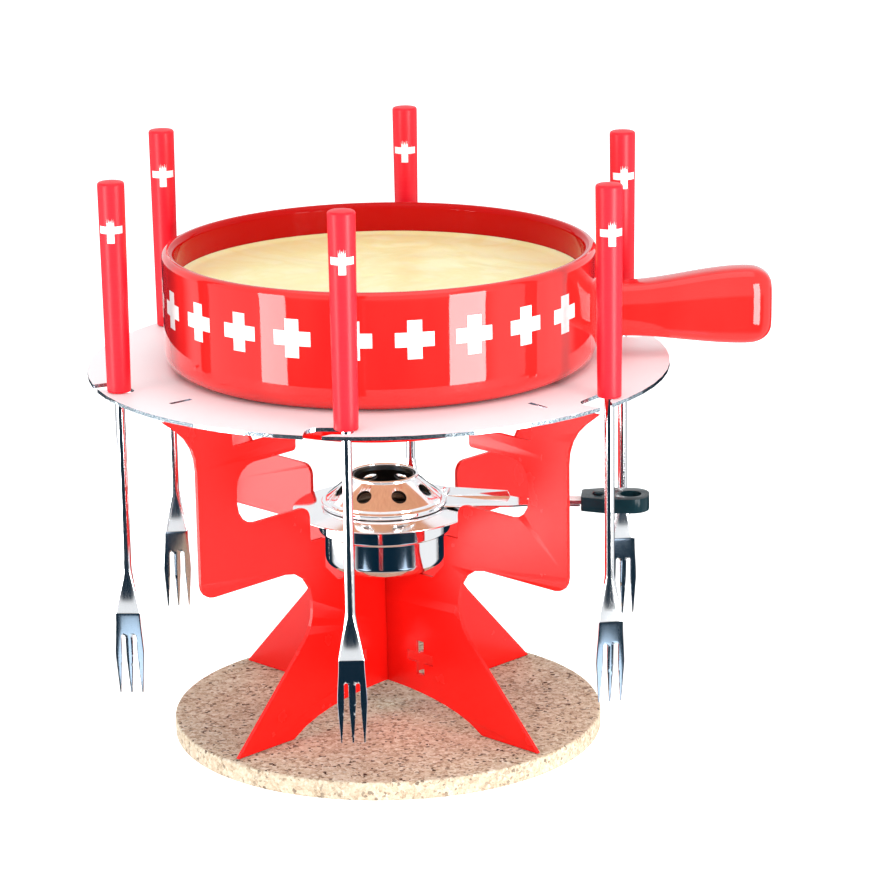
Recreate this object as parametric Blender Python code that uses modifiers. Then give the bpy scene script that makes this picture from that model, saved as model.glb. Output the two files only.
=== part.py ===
"""Fondue pot set: a cork base, an interlocking plate stand, a slotted top plate,
a ceramic pot with melted cheese, a spirit burner and six forks.

Metres, +Z up.  The origin is the centre of the cork's underside, -Y is the front.
"""

import math

import bmesh
import bpy
from mathutils import Matrix, Vector

MM = 0.001
GAP = 0.3 * MM                      # running gap between touching pieces

# Cork base
CORK_R = 113.0 * MM
CORK_H = 10.0 * MM
CORK_EDGE = 1.2 * MM

# Stand: heights are above its feet, radii are from its axis
FEET_Z = CORK_H + GAP
SHEET = 2.0 * MM
FOOT_R = 108.7 * MM
FOOT_IN_R = 69.7 * MM
ARCH_H = 14.5 * MM
ARCH_HALF = 72.0 * MM
ARCH_DROP = 6.0 * MM                # how far the arch ellipse's centre is below the feet
SEAT_H = 78.8 * MM                  # where the burner stands
SEAT_R = 35.5 * MM
WELL_R = 44.2 * MM
LEDGE_H = 103.5 * MM
INNER_R = 54.4 * MM
WAIST_R = 54.0 * MM
BLOCK_BOTTOM_H = 90.0 * MM
BLOCK_TOP_H = 122.6 * MM
OUTER_R = 130.0 * MM
NOTCH_R = 104.0 * MM
PRONG_R = 63.0 * MM
PRONG_BOTTOM_H = 154.3 * MM
PRONG_TOP_H = 165.0 * MM
COLUMN_R = 106.0 * MM
STAND_H = 186.4 * MM
FLARE_R = 150.5 * MM
TAB_H = 1.3 * MM
TAB_IN_R = 119.0 * MM
TAB_OUT_R = 131.0 * MM
PLUS_SIZE = 18.5 * MM
PLUS_BAR = 5.9 * MM
PLUS_R = 25.5 * MM
PLUS_H = 32.4 * MM

# Top plate
PLATE_R = 150.0 * MM
PLATE_T = 2.0 * MM
PLATE_HOLE_R = 79.0 * MM
PLATE_TURN = math.radians(-6.4)     # the plate lies turned off its stand's tabs
PLATE_Z = FEET_Z + STAND_H + TAB_H + GAP
PLATE_TOP = PLATE_Z + PLATE_T
FORKS = 6
PLATE_SHIFT = (-1.2 * MM, -2.0 * MM)    # and a little off the stand's axis
SLOT_DEPTH = 16.0 * MM
SLOT_SIDE = 19.5 * MM               # far wall of the mouth from the seat's radius
SLOT_END = 4.3 * MM
FINGER_DEPTH = 4.25 * MM            # the finger that keeps a fork in its slot
FINGER_TIP = 6.0 * MM
FINGER_OUTER_TIP = 10.2 * MM
FORK_RADII = (137.0 * MM, 141.5 * MM, 141.5 * MM, 141.5 * MM, 141.5 * MM, 141.5 * MM)
FORK_SWING_R = 15.25 * MM           # a stem leaves its slot along an arc of this radius

# Pot: heights are world heights
POT_R = 111.4 * MM
POT_WALL = 6.4 * MM
POT_BOTTOM = PLATE_TOP + GAP
POT_TOP = POT_BOTTOM + 59.7 * MM
POT_CORNER = 9.0 * MM
POT_FOOT_R = 76.0 * MM
POT_FOOT_Z = FEET_Z + PRONG_TOP_H + GAP
POT_FLOOR_T = 6.5 * MM
POT_HANDLE_TIP = 201.5 * MM
POT_HANDLE_MID = POT_BOTTOM + 25.2 * MM
POT_HANDLE_NECK = 33.0 * MM
POT_HANDLE_END = 43.0 * MM
POT_HANDLE_T = 25.0 * MM
CHEESE_TOP = POT_TOP - 15.9 * MM
POT_STEPS = 56

# Burner: heights are above the burner's own underside
BURNER_Z = FEET_Z + SEAT_H + GAP
CUP_R = 31.5 * MM
COLLAR_R = 34.5 * MM
COLLAR_BOTTOM_H = 19.4 * MM
CUP_H = 31.5 * MM
CUP_CORNER = 6.0 * MM
SHEET_THIN = 0.8 * MM
DRIP_R = 48.0 * MM
DRIP_H = CUP_H + GAP
DRIP_HOLE_R = 24.5 * MM
DRIP_FLAT_R = 35.3 * MM
DRIP_DROP = 1.5 * MM                # its rim hangs below its flat middle
CONE_BASE_H = 37.0 * MM
CONE_BASE_R = 30.2 * MM
CONE_RIM_R = 31.4 * MM
CONE_RIM_TUBE = 1.3 * MM
CHIMNEY_R = 17.5 * MM
CHIMNEY_BOTTOM_H = 48.2 * MM
CHIMNEY_TOP_H = 49.6 * MM
CHIMNEY_LIP = 0.8 * MM
VENTS = 8
VENT_TURN = math.radians(25.5)      # first vent from the regulator's handle
BURNER_STEPS = 40
VENT_R = 4.0 * MM
HANDLE_TURN = math.radians(-6.0)    # the regulator handle points 6 degrees forward of +X
STRAP_T = 0.9 * MM
STRAP_IN_R = 33.0 * MM
STRAP_NEAR = 8.0 * MM               # its half widths toward the front and the back
STRAP_FAR = 11.0 * MM
STRAP_TAPER = 66.0 * MM
STRAP_NARROW = 77.0 * MM
STRAP_END = 102.6 * MM
FLANGE_H = 5.0 * MM
GRIP_START = 103.3 * MM
GRIP_END = 138.5 * MM
GRIP_W = 22.0 * MM
GRIP_T = 7.5 * MM
GRIP_H = 35.6 * MM                  # the grip's mid height
GRIP_LOOP_R = 5.6 * MM
TANG_START = 84.0 * MM
TANG_END = 119.0 * MM
TANG_W = 8.4 * MM
TANG_T = 2.2 * MM
RIVET_R = 2.0 * MM
RIVET_AT = 112.0 * MM

# Forks: heights are above the top plate's upper face
FORK_HANDLE_R = 6.75 * MM
FORK_HANDLE_FOOT_R = 6.0 * MM
FORK_HANDLE_H = 107.0 * MM
FORK_STEM_R = 2.5 * MM
FORK_TIP_H = -159.8 * MM
FORK_WIDEN_H = -92.0 * MM
FORK_CREASE_H = -116.0 * MM
FORK_SLOT_H = -127.8 * MM
FORK_WIDEST_H = -139.0 * MM
FORK_BLADE_T = 1.6 * MM
FORK_BLADE_HALF = 7.4 * MM
FORK_CREASE_HALF = 6.4 * MM
TINE_STEP = 5.75 * MM
TINE_GAP = 2.1 * MM
FORK_YAWS = (0, 10, 4, -3, 5, -4)   # degrees each fork's face is turned from the front

COLLECTION = "fondue_pot_set"
CUTTERS = "cutters"

COLOURS = {
    "cork": ((0.62, 0.44, 0.29), 0.0, 0.85),
    "red_paint": ((0.80, 0.010, 0.008), 0.0, 0.35),
    "satin_steel": ((0.80, 0.78, 0.78), 1.0, 0.32),
    "polished_steel": ((0.82, 0.82, 0.84), 1.0, 0.12),
    "red_glaze": ((0.72, 0.012, 0.012), 0.0, 0.08),
    "cheese": ((0.98, 0.80, 0.40), 0.0, 0.38),
    "wadding": ((0.85, 0.83, 0.78), 0.0, 0.95),
    "gauze": ((0.55, 0.50, 0.40), 1.0, 0.45),
    "black_plastic": ((0.012, 0.014, 0.016), 0.0, 0.30),
    "red_handle": ((0.78, 0.012, 0.030), 0.0, 0.38),
}


# ---------------------------------------------------------------- scene helpers

def clear_scene():
    for obj in list(bpy.data.objects):
        bpy.data.objects.remove(obj, do_unlink=True)


def collection(name):
    group = bpy.data.collections.new(name)
    bpy.context.scene.collection.children.link(group)
    return group


def material(name, object_name):
    colour, metallic, roughness = COLOURS[name]
    mat = bpy.data.materials.new(object_name + "_" + name)
    mat.use_nodes = True
    shader = mat.node_tree.nodes["Principled BSDF"]
    shader.inputs["Base Color"].default_value = (*colour, 1.0)
    shader.inputs["Metallic"].default_value = metallic
    shader.inputs["Roughness"].default_value = roughness
    return mat


def add_object(name, mesh, look=None, group=COLLECTION, parent=None):
    obj = bpy.data.objects.new(name, mesh)
    bpy.data.collections[group].objects.link(obj)
    if look:
        mesh.materials.clear()
        mesh.materials.append(material(look, name))
    if parent:
        obj.parent = parent
    return obj


def add_cutter(name, mesh):
    cutter = add_object(name, mesh, group=CUTTERS)
    cutter.hide_render = True
    cutter.display_type = "WIRE"
    return cutter


def empty(name, location, parent=None, turn=0.0):
    obj = add_object(name, None, parent=parent)
    obj.location = location
    obj.rotation_euler = (0.0, 0.0, turn)
    return obj


def boolean(obj, cutter, operation):
    modifier = obj.modifiers.new(operation.lower() + "_" + cutter.name, "BOOLEAN")
    modifier.operation = operation
    modifier.solver = "EXACT"
    modifier.object = cutter


def shade(mesh, angle=35.0):
    mesh.shade_smooth()
    mesh.set_sharp_from_angle(angle=math.radians(angle))


def evaluated_mesh(obj, name):
    """A mesh of the object as its modifiers or its curve settings make it."""
    graph = bpy.context.evaluated_depsgraph_get()
    mesh = bpy.data.meshes.new_from_object(obj.evaluated_get(graph))
    mesh.name = name
    weld(mesh)
    return mesh


def weld(mesh, distance=0.002 * MM):
    shape = bmesh.new()
    shape.from_mesh(mesh)
    bmesh.ops.remove_doubles(shape, verts=shape.verts, dist=distance)
    bmesh.ops.recalc_face_normals(shape, faces=shape.faces)
    shape.to_mesh(mesh)
    shape.free()


# ---------------------------------------------------------------- shape helpers

def arc(centre, radius, start, end, steps):
    """Points of an arc, both ends included; angles in degrees."""
    points = []
    for i in range(steps + 1):
        angle = math.radians(start + (end - start) * i / steps)
        points.append((centre[0] + radius * math.cos(angle), centre[1] + radius * math.sin(angle)))
    return points


def rounded(corners, steps=5, closed=True):
    """An outline from (x, y, radius) corners, each rounded by an arc of its radius."""
    points = []
    count = len(corners)
    for i, (x, y, radius) in enumerate(corners):
        at_end = not closed and i in (0, count - 1)
        if radius == 0 or at_end:
            points.append((x, y))
            continue
        corner = Vector((x, y))
        back = (Vector(corners[i - 1][:2]) - corner).normalized()
        ahead = (Vector(corners[(i + 1) % count][:2]) - corner).normalized()
        half = back.angle(ahead) / 2
        reach = radius / math.tan(half)
        centre = corner + (back + ahead).normalized() * (radius / math.sin(half))
        first = corner + back * reach - centre
        turn = math.pi - 2 * half
        if back.cross(ahead) > 0:
            turn = -turn
        for step in range(steps + 1):
            spot = centre + Matrix.Rotation(turn * step / steps, 2) @ first
            points.append((spot.x, spot.y))
    return points


def sheet(name, outlines, thickness, look=None, group=COLLECTION, parent=None):
    """A flat plate in the XY plane, centred on Z = 0, from closed outlines; inner ones are holes."""
    curve = bpy.data.curves.new(name, "CURVE")
    curve.dimensions = "2D"
    curve.fill_mode = "BOTH"
    curve.extrude = thickness / 2
    for outline in outlines:
        spline = curve.splines.new("POLY")
        spline.points.add(len(outline) - 1)
        for point, (x, y) in zip(spline.points, outline):
            point.co = (x, y, 0.0, 1.0)
        spline.use_cyclic_u = True
    guide = add_object(name + "_outline", curve, group=CUTTERS)
    mesh = evaluated_mesh(guide, name)
    bpy.data.objects.remove(guide, do_unlink=True)
    bpy.data.curves.remove(curve)
    if group == CUTTERS:
        return add_cutter(name, mesh)
    return add_object(name, mesh, look, parent=parent)


def turned(name, profile, steps, look, parent=None, closed=False):
    """A turned solid from (radius, height) points that run down the outer side."""
    shape = bmesh.new()
    verts = [shape.verts.new((radius, 0.0, height)) for radius, height in profile]
    for first, second in zip(verts, verts[1:]):
        shape.edges.new((first, second))
    if closed:
        shape.edges.new((verts[-1], verts[0]))
    mesh = bpy.data.meshes.new(name)
    shape.to_mesh(mesh)
    shape.free()
    obj = add_object(name, mesh, look, parent=parent)
    screw = obj.modifiers.new("turn", "SCREW")
    screw.steps = steps
    screw.render_steps = steps
    screw.use_merge_vertices = True
    screw.merge_threshold = 0.01 * MM
    screw.use_smooth_shade = True
    return obj


def cylinder(name, radius, height, steps, look=None, parent=None, group=COLLECTION):
    """A cylinder about Z, centred on its own origin."""
    shape = bmesh.new()
    bmesh.ops.create_cone(shape, cap_ends=True, segments=steps, radius1=radius, radius2=radius,
                          depth=height)
    mesh = bpy.data.meshes.new(name)
    shape.to_mesh(mesh)
    shape.free()
    shade(mesh)
    if group == CUTTERS:
        return add_cutter(name, mesh)
    return add_object(name, mesh, look, parent=parent)


def box(name, size, look=None, parent=None, group=COLLECTION):
    shape = bmesh.new()
    bmesh.ops.create_cube(shape, size=1.0)
    bmesh.ops.scale(shape, vec=size, verts=shape.verts)
    mesh = bpy.data.meshes.new(name)
    shape.to_mesh(mesh)
    shape.free()
    if group == CUTTERS:
        return add_cutter(name, mesh)
    return add_object(name, mesh, look, parent=parent)


def bevel(obj, width, segments, angle=30.0):
    modifier = obj.modifiers.new("edges", "BEVEL")
    modifier.width = width
    modifier.segments = segments
    modifier.limit_method = "ANGLE"
    modifier.angle_limit = math.radians(angle)


def plus_outline(centre, size, bar):
    """A plus shape's closed outline."""
    far = size / 2
    near = bar / 2
    quarter = [(near, near), (near, far), (-near, far)]
    points = []
    for turn in range(4):
        spin = Matrix.Rotation(math.radians(90 * turn), 2)
        for corner in quarter:
            spot = spin @ Vector(corner)
            points.append((centre[0] + spot.x, centre[1] + spot.y))
    return points


# ---------------------------------------------------------------- cork base

def build_cork(parent):
    profile = [(0.0, CORK_H)]
    profile += arc((CORK_R - CORK_EDGE, CORK_H - CORK_EDGE), CORK_EDGE, 90, 0, 2)
    profile += arc((CORK_R - CORK_EDGE, CORK_EDGE), CORK_EDGE, 0, -90, 2)
    profile += [(0.0, 0.0)]
    turned("cork_base", profile, 64, "cork", parent)


# ---------------------------------------------------------------- stand

def arm_outline():
    """Half of a stand plate, from its axis at the burner seat out and down to the arch."""
    corners = [
        (0.0, SEAT_H, 0),
        (SEAT_R, SEAT_H, 1.5 * MM),
        (WELL_R, SEAT_H + (WELL_R - SEAT_R), 2.0 * MM),
        (WELL_R, LEDGE_H, 0.8 * MM),
        (INNER_R, LEDGE_H, 0.8 * MM),
        (INNER_R, BLOCK_TOP_H, 6.0 * MM),
        (NOTCH_R, BLOCK_TOP_H, 12.0 * MM),
        (NOTCH_R, PRONG_BOTTOM_H, 12.0 * MM),
        (PRONG_R, PRONG_BOTTOM_H, 2.0 * MM),
        (PRONG_R, PRONG_TOP_H, 2.0 * MM),
        (COLUMN_R, PRONG_TOP_H, 1.5 * MM),
        (COLUMN_R, STAND_H, 0),
        (TAB_IN_R, STAND_H, 0),
        (TAB_IN_R, STAND_H + TAB_H, 0),
        (TAB_OUT_R, STAND_H + TAB_H, 0),
        (TAB_OUT_R, STAND_H, 0),
        (FLARE_R, STAND_H, 0),
        (OUTER_R, STAND_H - 15.4 * MM, 28.0 * MM),
        (OUTER_R, BLOCK_BOTTOM_H, 8.5 * MM),
        (WAIST_R, BLOCK_BOTTOM_H, 18.5 * MM),
        (WAIST_R, 57.4 * MM, 25.0 * MM),
        (FOOT_R, 0.0, 0),
        (FOOT_IN_R, 0.0, 0),
    ]
    outline = rounded(corners, steps=4, closed=False)
    for i in range(1, 9):
        across = FOOT_IN_R * (1 - i / 8)
        rise = (ARCH_H + ARCH_DROP) * math.sqrt(1 - (across / ARCH_HALF) ** 2) - ARCH_DROP
        outline.append((across, rise))
    return outline


def build_stand_plate(name, turn, lap_from_top, parent):
    """One flat plate of the crossed stand; its lap slot lets the other plate through."""
    half = arm_outline()
    mirrored = [(-x, y) for x, y in reversed(half[1:-1])]
    lap_half = SHEET / 2 + GAP
    lap_mid = (ARCH_H + SEAT_H) / 2
    if lap_from_top:
        lap = [(-lap_half, lap_mid - GAP / 2), (lap_half, lap_mid - GAP / 2)]
        outline = [(lap_half, SEAT_H)] + half[1:] + mirrored + [(-lap_half, SEAT_H)] + lap
    else:
        lap = [(lap_half, lap_mid + GAP / 2), (-lap_half, lap_mid + GAP / 2)]
        outline = half[:-1] + [(lap_half, ARCH_H)] + lap + [(-lap_half, ARCH_H)] + mirrored
    outlines = [outline]
    for side in (-1, 1):
        outlines.append(plus_outline((side * PLUS_R, PLUS_H), PLUS_SIZE, PLUS_BAR))
    plate = sheet(name, outlines, SHEET, "red_paint", parent=parent)
    plate.location = (0.0, 0.0, FEET_Z)
    plate.rotation_euler = (math.radians(90), 0.0, turn)


def build_stand(parent):
    build_stand_plate("stand_plate_a", math.radians(-45), False, parent)
    build_stand_plate("stand_plate_b", math.radians(45), True, parent)


# ---------------------------------------------------------------- top plate

def hook_slot(angle):
    """Rim points of one hook slot, opening toward the smaller angle of its fork."""
    def edge(across):
        return PLATE_R - math.sqrt(PLATE_R ** 2 - across ** 2)

    corners = [
        (-SLOT_SIDE, edge(SLOT_SIDE), 0),
        (-SLOT_SIDE, SLOT_DEPTH, 7.0 * MM),
        (SLOT_END, SLOT_DEPTH, 4.0 * MM),
        (SLOT_END, FINGER_DEPTH, 4.0 * MM),
        (-FINGER_TIP, FINGER_DEPTH, 1.6 * MM),
        (-FINGER_OUTER_TIP, edge(FINGER_OUTER_TIP), 0),
    ]
    spin = Matrix.Rotation(angle, 2)
    points = []
    for across, inward in rounded(corners, steps=4, closed=False):
        spot = spin @ Vector((across, inward - PLATE_R))
        points.append((spot.x, spot.y))
    return points


def build_top_plate(parent):
    outline = []
    step = 2 * math.pi / FORKS
    for fork in range(FORKS):
        slot = hook_slot(fork * step)
        following = hook_slot((fork + 1) * step)
        outline += slot
        start = math.degrees(math.atan2(slot[-1][1], slot[-1][0]))
        end = math.degrees(math.atan2(following[0][1], following[0][0]))
        end += 360.0 if end < start else 0.0
        outline += arc((0.0, 0.0), PLATE_R, start, end, 10)[1:-1]
    hole = arc((0.0, 0.0), PLATE_HOLE_R, 0, 360 - 360 / 56, 55)
    outlines = [outline, hole]
    tab_half = SHEET / 2 + GAP
    for quarter in range(4):
        spin = Matrix.Rotation(math.radians(45 + 90 * quarter), 2)
        tab = [(TAB_IN_R - GAP, -tab_half), (TAB_OUT_R + GAP, -tab_half),
               (TAB_OUT_R + GAP, tab_half), (TAB_IN_R - GAP, tab_half)]
        outlines.append([tuple(spin @ Vector(corner)) for corner in tab])
    plate = sheet("top_plate", outlines, PLATE_T, "satin_steel", parent=parent)
    plate.location = (PLATE_SHIFT[0], PLATE_SHIFT[1], PLATE_Z + PLATE_T / 2)
    plate.rotation_euler = (0.0, 0.0, PLATE_TURN)


# ---------------------------------------------------------------- pot and cheese

def pot_inside(clearance, top):
    """The pot's inner profile from its floor's centre up to a height, moved in by a clearance."""
    wall = POT_R - POT_WALL - clearance
    floor = POT_FOOT_Z + POT_FLOOR_T + clearance
    shelf = POT_BOTTOM + POT_WALL + clearance
    well = POT_FOOT_R - POT_WALL - clearance
    corners = [
        (0.0, floor, 0),
        (well, floor, 4.0 * MM),
        (well, shelf, 3.0 * MM),
        (wall, shelf, 9.0 * MM),
        (wall, top, 0),
    ]
    return rounded(corners, steps=2, closed=False)


def build_pot(parent):
    rim = POT_WALL / 2
    profile = pot_inside(0.0, POT_TOP - rim)
    profile += arc((POT_R - rim, POT_TOP - rim), rim, 180, 0, 6)[1:]
    outside = [
        (POT_R, POT_TOP - rim, 0),
        (POT_R, POT_BOTTOM, POT_CORNER),
        (POT_FOOT_R, POT_BOTTOM, 1.5 * MM),
        (POT_FOOT_R, POT_FOOT_Z, 2.0 * MM),
        (0.0, POT_FOOT_Z, 0),
    ]
    profile += rounded(outside, steps=3, closed=False)[1:]
    pot = turned("pot", profile, POT_STEPS, "red_glaze", parent)
    boolean(pot, pot_handle_block(), "UNION")


def pot_handle_block():
    """The flat side handle, widening toward its rounded end; its root is buried in the wall."""
    root = POT_R - POT_WALL * 0.6
    neck = POT_HANDLE_NECK / 2
    end = POT_HANDLE_END / 2
    flare = neck + 9.0 * MM
    corners = [
        (root, -flare, 0),
        (POT_R + 2.0 * MM, -flare, 0),
        (POT_R + 6.0 * MM, -neck, 8.0 * MM),
        (POT_R + 38.0 * MM, -neck, 30.0 * MM),
        (POT_HANDLE_TIP - 11.0 * MM, -end, 12.0 * MM),
        (POT_HANDLE_TIP, -end + 3.0 * MM, 9.0 * MM),
        (POT_HANDLE_TIP, end - 2.0 * MM, 8.0 * MM),
        (POT_HANDLE_TIP - 12.0 * MM, end, 12.0 * MM),
        (POT_R + 30.0 * MM, neck + 0.6 * MM, 30.0 * MM),
        (POT_R + 6.0 * MM, neck, 8.0 * MM),
        (POT_R + 2.0 * MM, flare, 0),
        (root, flare, 0),
    ]
    outline = rounded(corners, steps=3)
    block = sheet("pot_handle_block", [outline], POT_HANDLE_T, group=CUTTERS)
    block.location = (0.0, 0.0, POT_HANDLE_MID)
    block.rotation_euler = (math.radians(90), 0.0, 0.0)
    bevel(block, 6.0 * MM, 2, angle=60.0)
    return block


def build_cheese(parent):
    profile = [(0.0, CHEESE_TOP + 1.5 * MM), (POT_R * 0.5, CHEESE_TOP + 1.0 * MM)]
    profile += reversed(pot_inside(GAP, CHEESE_TOP))
    turned("cheese_fill", profile, POT_STEPS, "cheese", parent)


# ---------------------------------------------------------------- burner

def build_cup(parent):
    inner = SHEET_THIN
    profile = [(0.0, inner)]
    profile += arc((CUP_R - CUP_CORNER, CUP_CORNER), CUP_CORNER - inner, -90, 0, 5)
    profile += [
        (CUP_R - inner, COLLAR_BOTTOM_H + inner),
        (COLLAR_R - inner, COLLAR_BOTTOM_H + 2.5 * MM),
        (COLLAR_R - inner, CUP_H),
        (COLLAR_R, CUP_H),
        (COLLAR_R, COLLAR_BOTTOM_H + 1.5 * MM),
        (COLLAR_R - 1.0 * MM, COLLAR_BOTTOM_H),
        (CUP_R, COLLAR_BOTTOM_H - 0.5 * MM),
    ]
    profile += arc((CUP_R - CUP_CORNER, CUP_CORNER), CUP_CORNER, 0, -90, 5)
    profile += [(0.0, 0.0)]
    turned("burner_cup", profile, BURNER_STEPS, "polished_steel", parent)


def build_tank(parent):
    """The removable spirit tank inside the cup, its wadding and its gauze."""
    outer = CUP_R - SHEET_THIN - 0.5 * MM
    bottom = SHEET_THIN + GAP
    top = 22.5 * MM
    mouth = 21.0 * MM
    wall = SHEET_THIN
    corner = CUP_CORNER - 1.0 * MM
    profile = [(0.0, bottom + wall)]
    profile += arc((outer - corner, bottom + corner), corner - wall, -90, 0, 3)
    profile += [
        (outer - wall, top - wall),
        (mouth, top - wall),
        (mouth, top),
        (outer, top),
    ]
    profile += arc((outer - corner, bottom + corner), corner, 0, -90, 3)
    profile += [(0.0, bottom)]
    turned("fuel_tank", profile, BURNER_STEPS, "polished_steel", parent)

    pad_r = outer - wall - GAP
    pad_bottom = bottom + wall + GAP
    pad_top = top - wall - GAP
    pad = [(0.0, pad_top), (pad_r, pad_top)]
    pad += arc((outer - corner, bottom + corner), corner - wall - GAP, 0, -90, 3)
    pad += [(0.0, pad_bottom)]
    turned("absorbent_pad", pad, BURNER_STEPS, "wadding", parent)

    gauze_r = 26.5 * MM
    gauze = [(0.0, top + 1.6 * MM), (gauze_r * 0.6, top + 1.3 * MM), (gauze_r, top + 0.8 * MM)]
    gauze += [(gauze_r, top + GAP), (0.0, top + GAP)]
    turned("wire_gauze", gauze, BURNER_STEPS, "gauze", parent)


def build_drip_plate(parent):
    low = DRIP_H
    high = low + SHEET_THIN
    edge = 0.25 * MM
    profile = [
        (DRIP_R, high - DRIP_DROP - edge),
        (DRIP_R, low - DRIP_DROP + edge),
        (DRIP_R - edge, low - DRIP_DROP),
        (DRIP_FLAT_R, low),
        (DRIP_HOLE_R, low),
        (DRIP_HOLE_R, high),
        (DRIP_FLAT_R, high),
        (DRIP_R - edge, high - DRIP_DROP),
    ]
    turned("drip_plate", profile, BURNER_STEPS, "polished_steel", parent, closed=True)


def cut_vents(obj, name, parent, first_angle):
    """Round vents square to the slope, all cut by one joined ring of short cylinders."""
    slope = math.atan2(CHIMNEY_BOTTOM_H - CONE_BASE_H, CONE_BASE_R - CHIMNEY_R)
    mid_r = (CONE_BASE_R + CHIMNEY_R) / 2
    mid_h = (CONE_BASE_H + CHIMNEY_BOTTOM_H) / 2
    shape = bmesh.new()
    for vent in range(VENTS):
        turn = first_angle + 2 * math.pi * vent / VENTS
        place = Matrix.Rotation(turn, 4, "Z") @ Matrix.Translation((mid_r, 0.0, mid_h))
        place = place @ Matrix.Rotation(math.pi / 2 - slope, 4, "Y")
        bmesh.ops.create_cone(shape, cap_ends=True, segments=12, radius1=VENT_R,
                              radius2=VENT_R, depth=8.0 * MM, matrix=place)
    mesh = bpy.data.meshes.new(name)
    shape.to_mesh(mesh)
    shape.free()
    cutter = add_cutter(name, mesh)
    cutter.parent = parent
    boolean(obj, cutter, "DIFFERENCE")


def build_air_sleeve(parent):
    """The fixed inner cone; its vents are shut when the regulator turns half a step."""
    off = SHEET_THIN + 0.6 * MM
    wall = 0.6 * MM
    foot = DRIP_H + SHEET_THIN + GAP
    outer_top = CHIMNEY_R - off
    outer_base = CONE_BASE_R - off
    drop = 1.15 * MM
    profile = [
        (outer_top, CHIMNEY_TOP_H - 1.0 * MM),
        (outer_top, CHIMNEY_BOTTOM_H - drop),
        (outer_base, CONE_BASE_H - drop),
        (outer_base, foot),
        (outer_base - wall, foot),
        (outer_base - wall, CONE_BASE_H - drop - wall),
        (outer_top - wall, CHIMNEY_BOTTOM_H - drop - wall),
        (outer_top - wall, CHIMNEY_TOP_H - 1.0 * MM),
    ]
    sleeve = turned("air_sleeve", profile, BURNER_STEPS, "polished_steel", parent, closed=True)
    cut_vents(sleeve, "sleeve_vents", parent, HANDLE_TURN + VENT_TURN)


def build_regulator_cone(parent):
    wall = SHEET_THIN
    rim_h = DRIP_H + SHEET_THIN + GAP + CONE_RIM_TUBE
    profile = arc((CHIMNEY_R, CHIMNEY_TOP_H - CHIMNEY_LIP), CHIMNEY_LIP, 180, -90, 5)
    profile += [(CONE_BASE_R, CONE_BASE_H)]
    profile += arc((CONE_RIM_R, rim_h), CONE_RIM_TUBE, 90, -180, 6)
    profile += [
        (CONE_BASE_R - wall * 0.6, CONE_BASE_H - wall),
        (CHIMNEY_R - wall, CHIMNEY_BOTTOM_H - wall * 0.5),
    ]
    cone = turned("regulator_cone", profile, BURNER_STEPS, "polished_steel", parent, closed=True)
    cut_vents(cone, "cone_vents", parent, VENT_TURN)


def build_regulator_strap(parent):
    """An angle strip: a level leg under the tang and a short upright flange at its back."""
    low = GRIP_H - TANG_T / 2 - GAP - STRAP_T
    first = -math.degrees(math.asin(STRAP_NEAR / STRAP_IN_R))
    last = math.degrees(math.asin(STRAP_FAR / STRAP_IN_R))
    narrow = TANG_W / 2
    outline = list(reversed(arc((0.0, 0.0), STRAP_IN_R, first, last, 6)))
    outline += [(STRAP_TAPER, -STRAP_NEAR * 0.85), (STRAP_NARROW, -narrow), (STRAP_END, -narrow)]
    outline += [(STRAP_END, narrow), (STRAP_NARROW, narrow), (STRAP_TAPER, STRAP_FAR)]
    strap = sheet("regulator_strap", [outline], STRAP_T, "polished_steel", parent=parent)
    strap.location = (0.0, 0.0, low + STRAP_T / 2)

    sunk = low + 0.2 * MM
    top = low + STRAP_T + FLANGE_H
    side = [
        (STRAP_IN_R - 1.2 * MM, sunk),
        (STRAP_TAPER - 0.5 * MM, sunk),
        (STRAP_TAPER - 0.5 * MM, low + STRAP_T),
        (STRAP_TAPER - 2.0 * MM, top - 2.0 * MM),
        (STRAP_IN_R - 5.0 * MM, top),
        (STRAP_IN_R - 1.2 * MM, low + STRAP_T),
    ]
    flange = sheet("strap_flange", [side], STRAP_T, group=CUTTERS)
    flange.parent = parent
    flange.location = (0.0, STRAP_FAR - 0.6 * STRAP_T, 0.0)
    flange.rotation_euler = (math.radians(90), 0.0, 0.0)
    boolean(strap, flange, "UNION")


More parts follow.
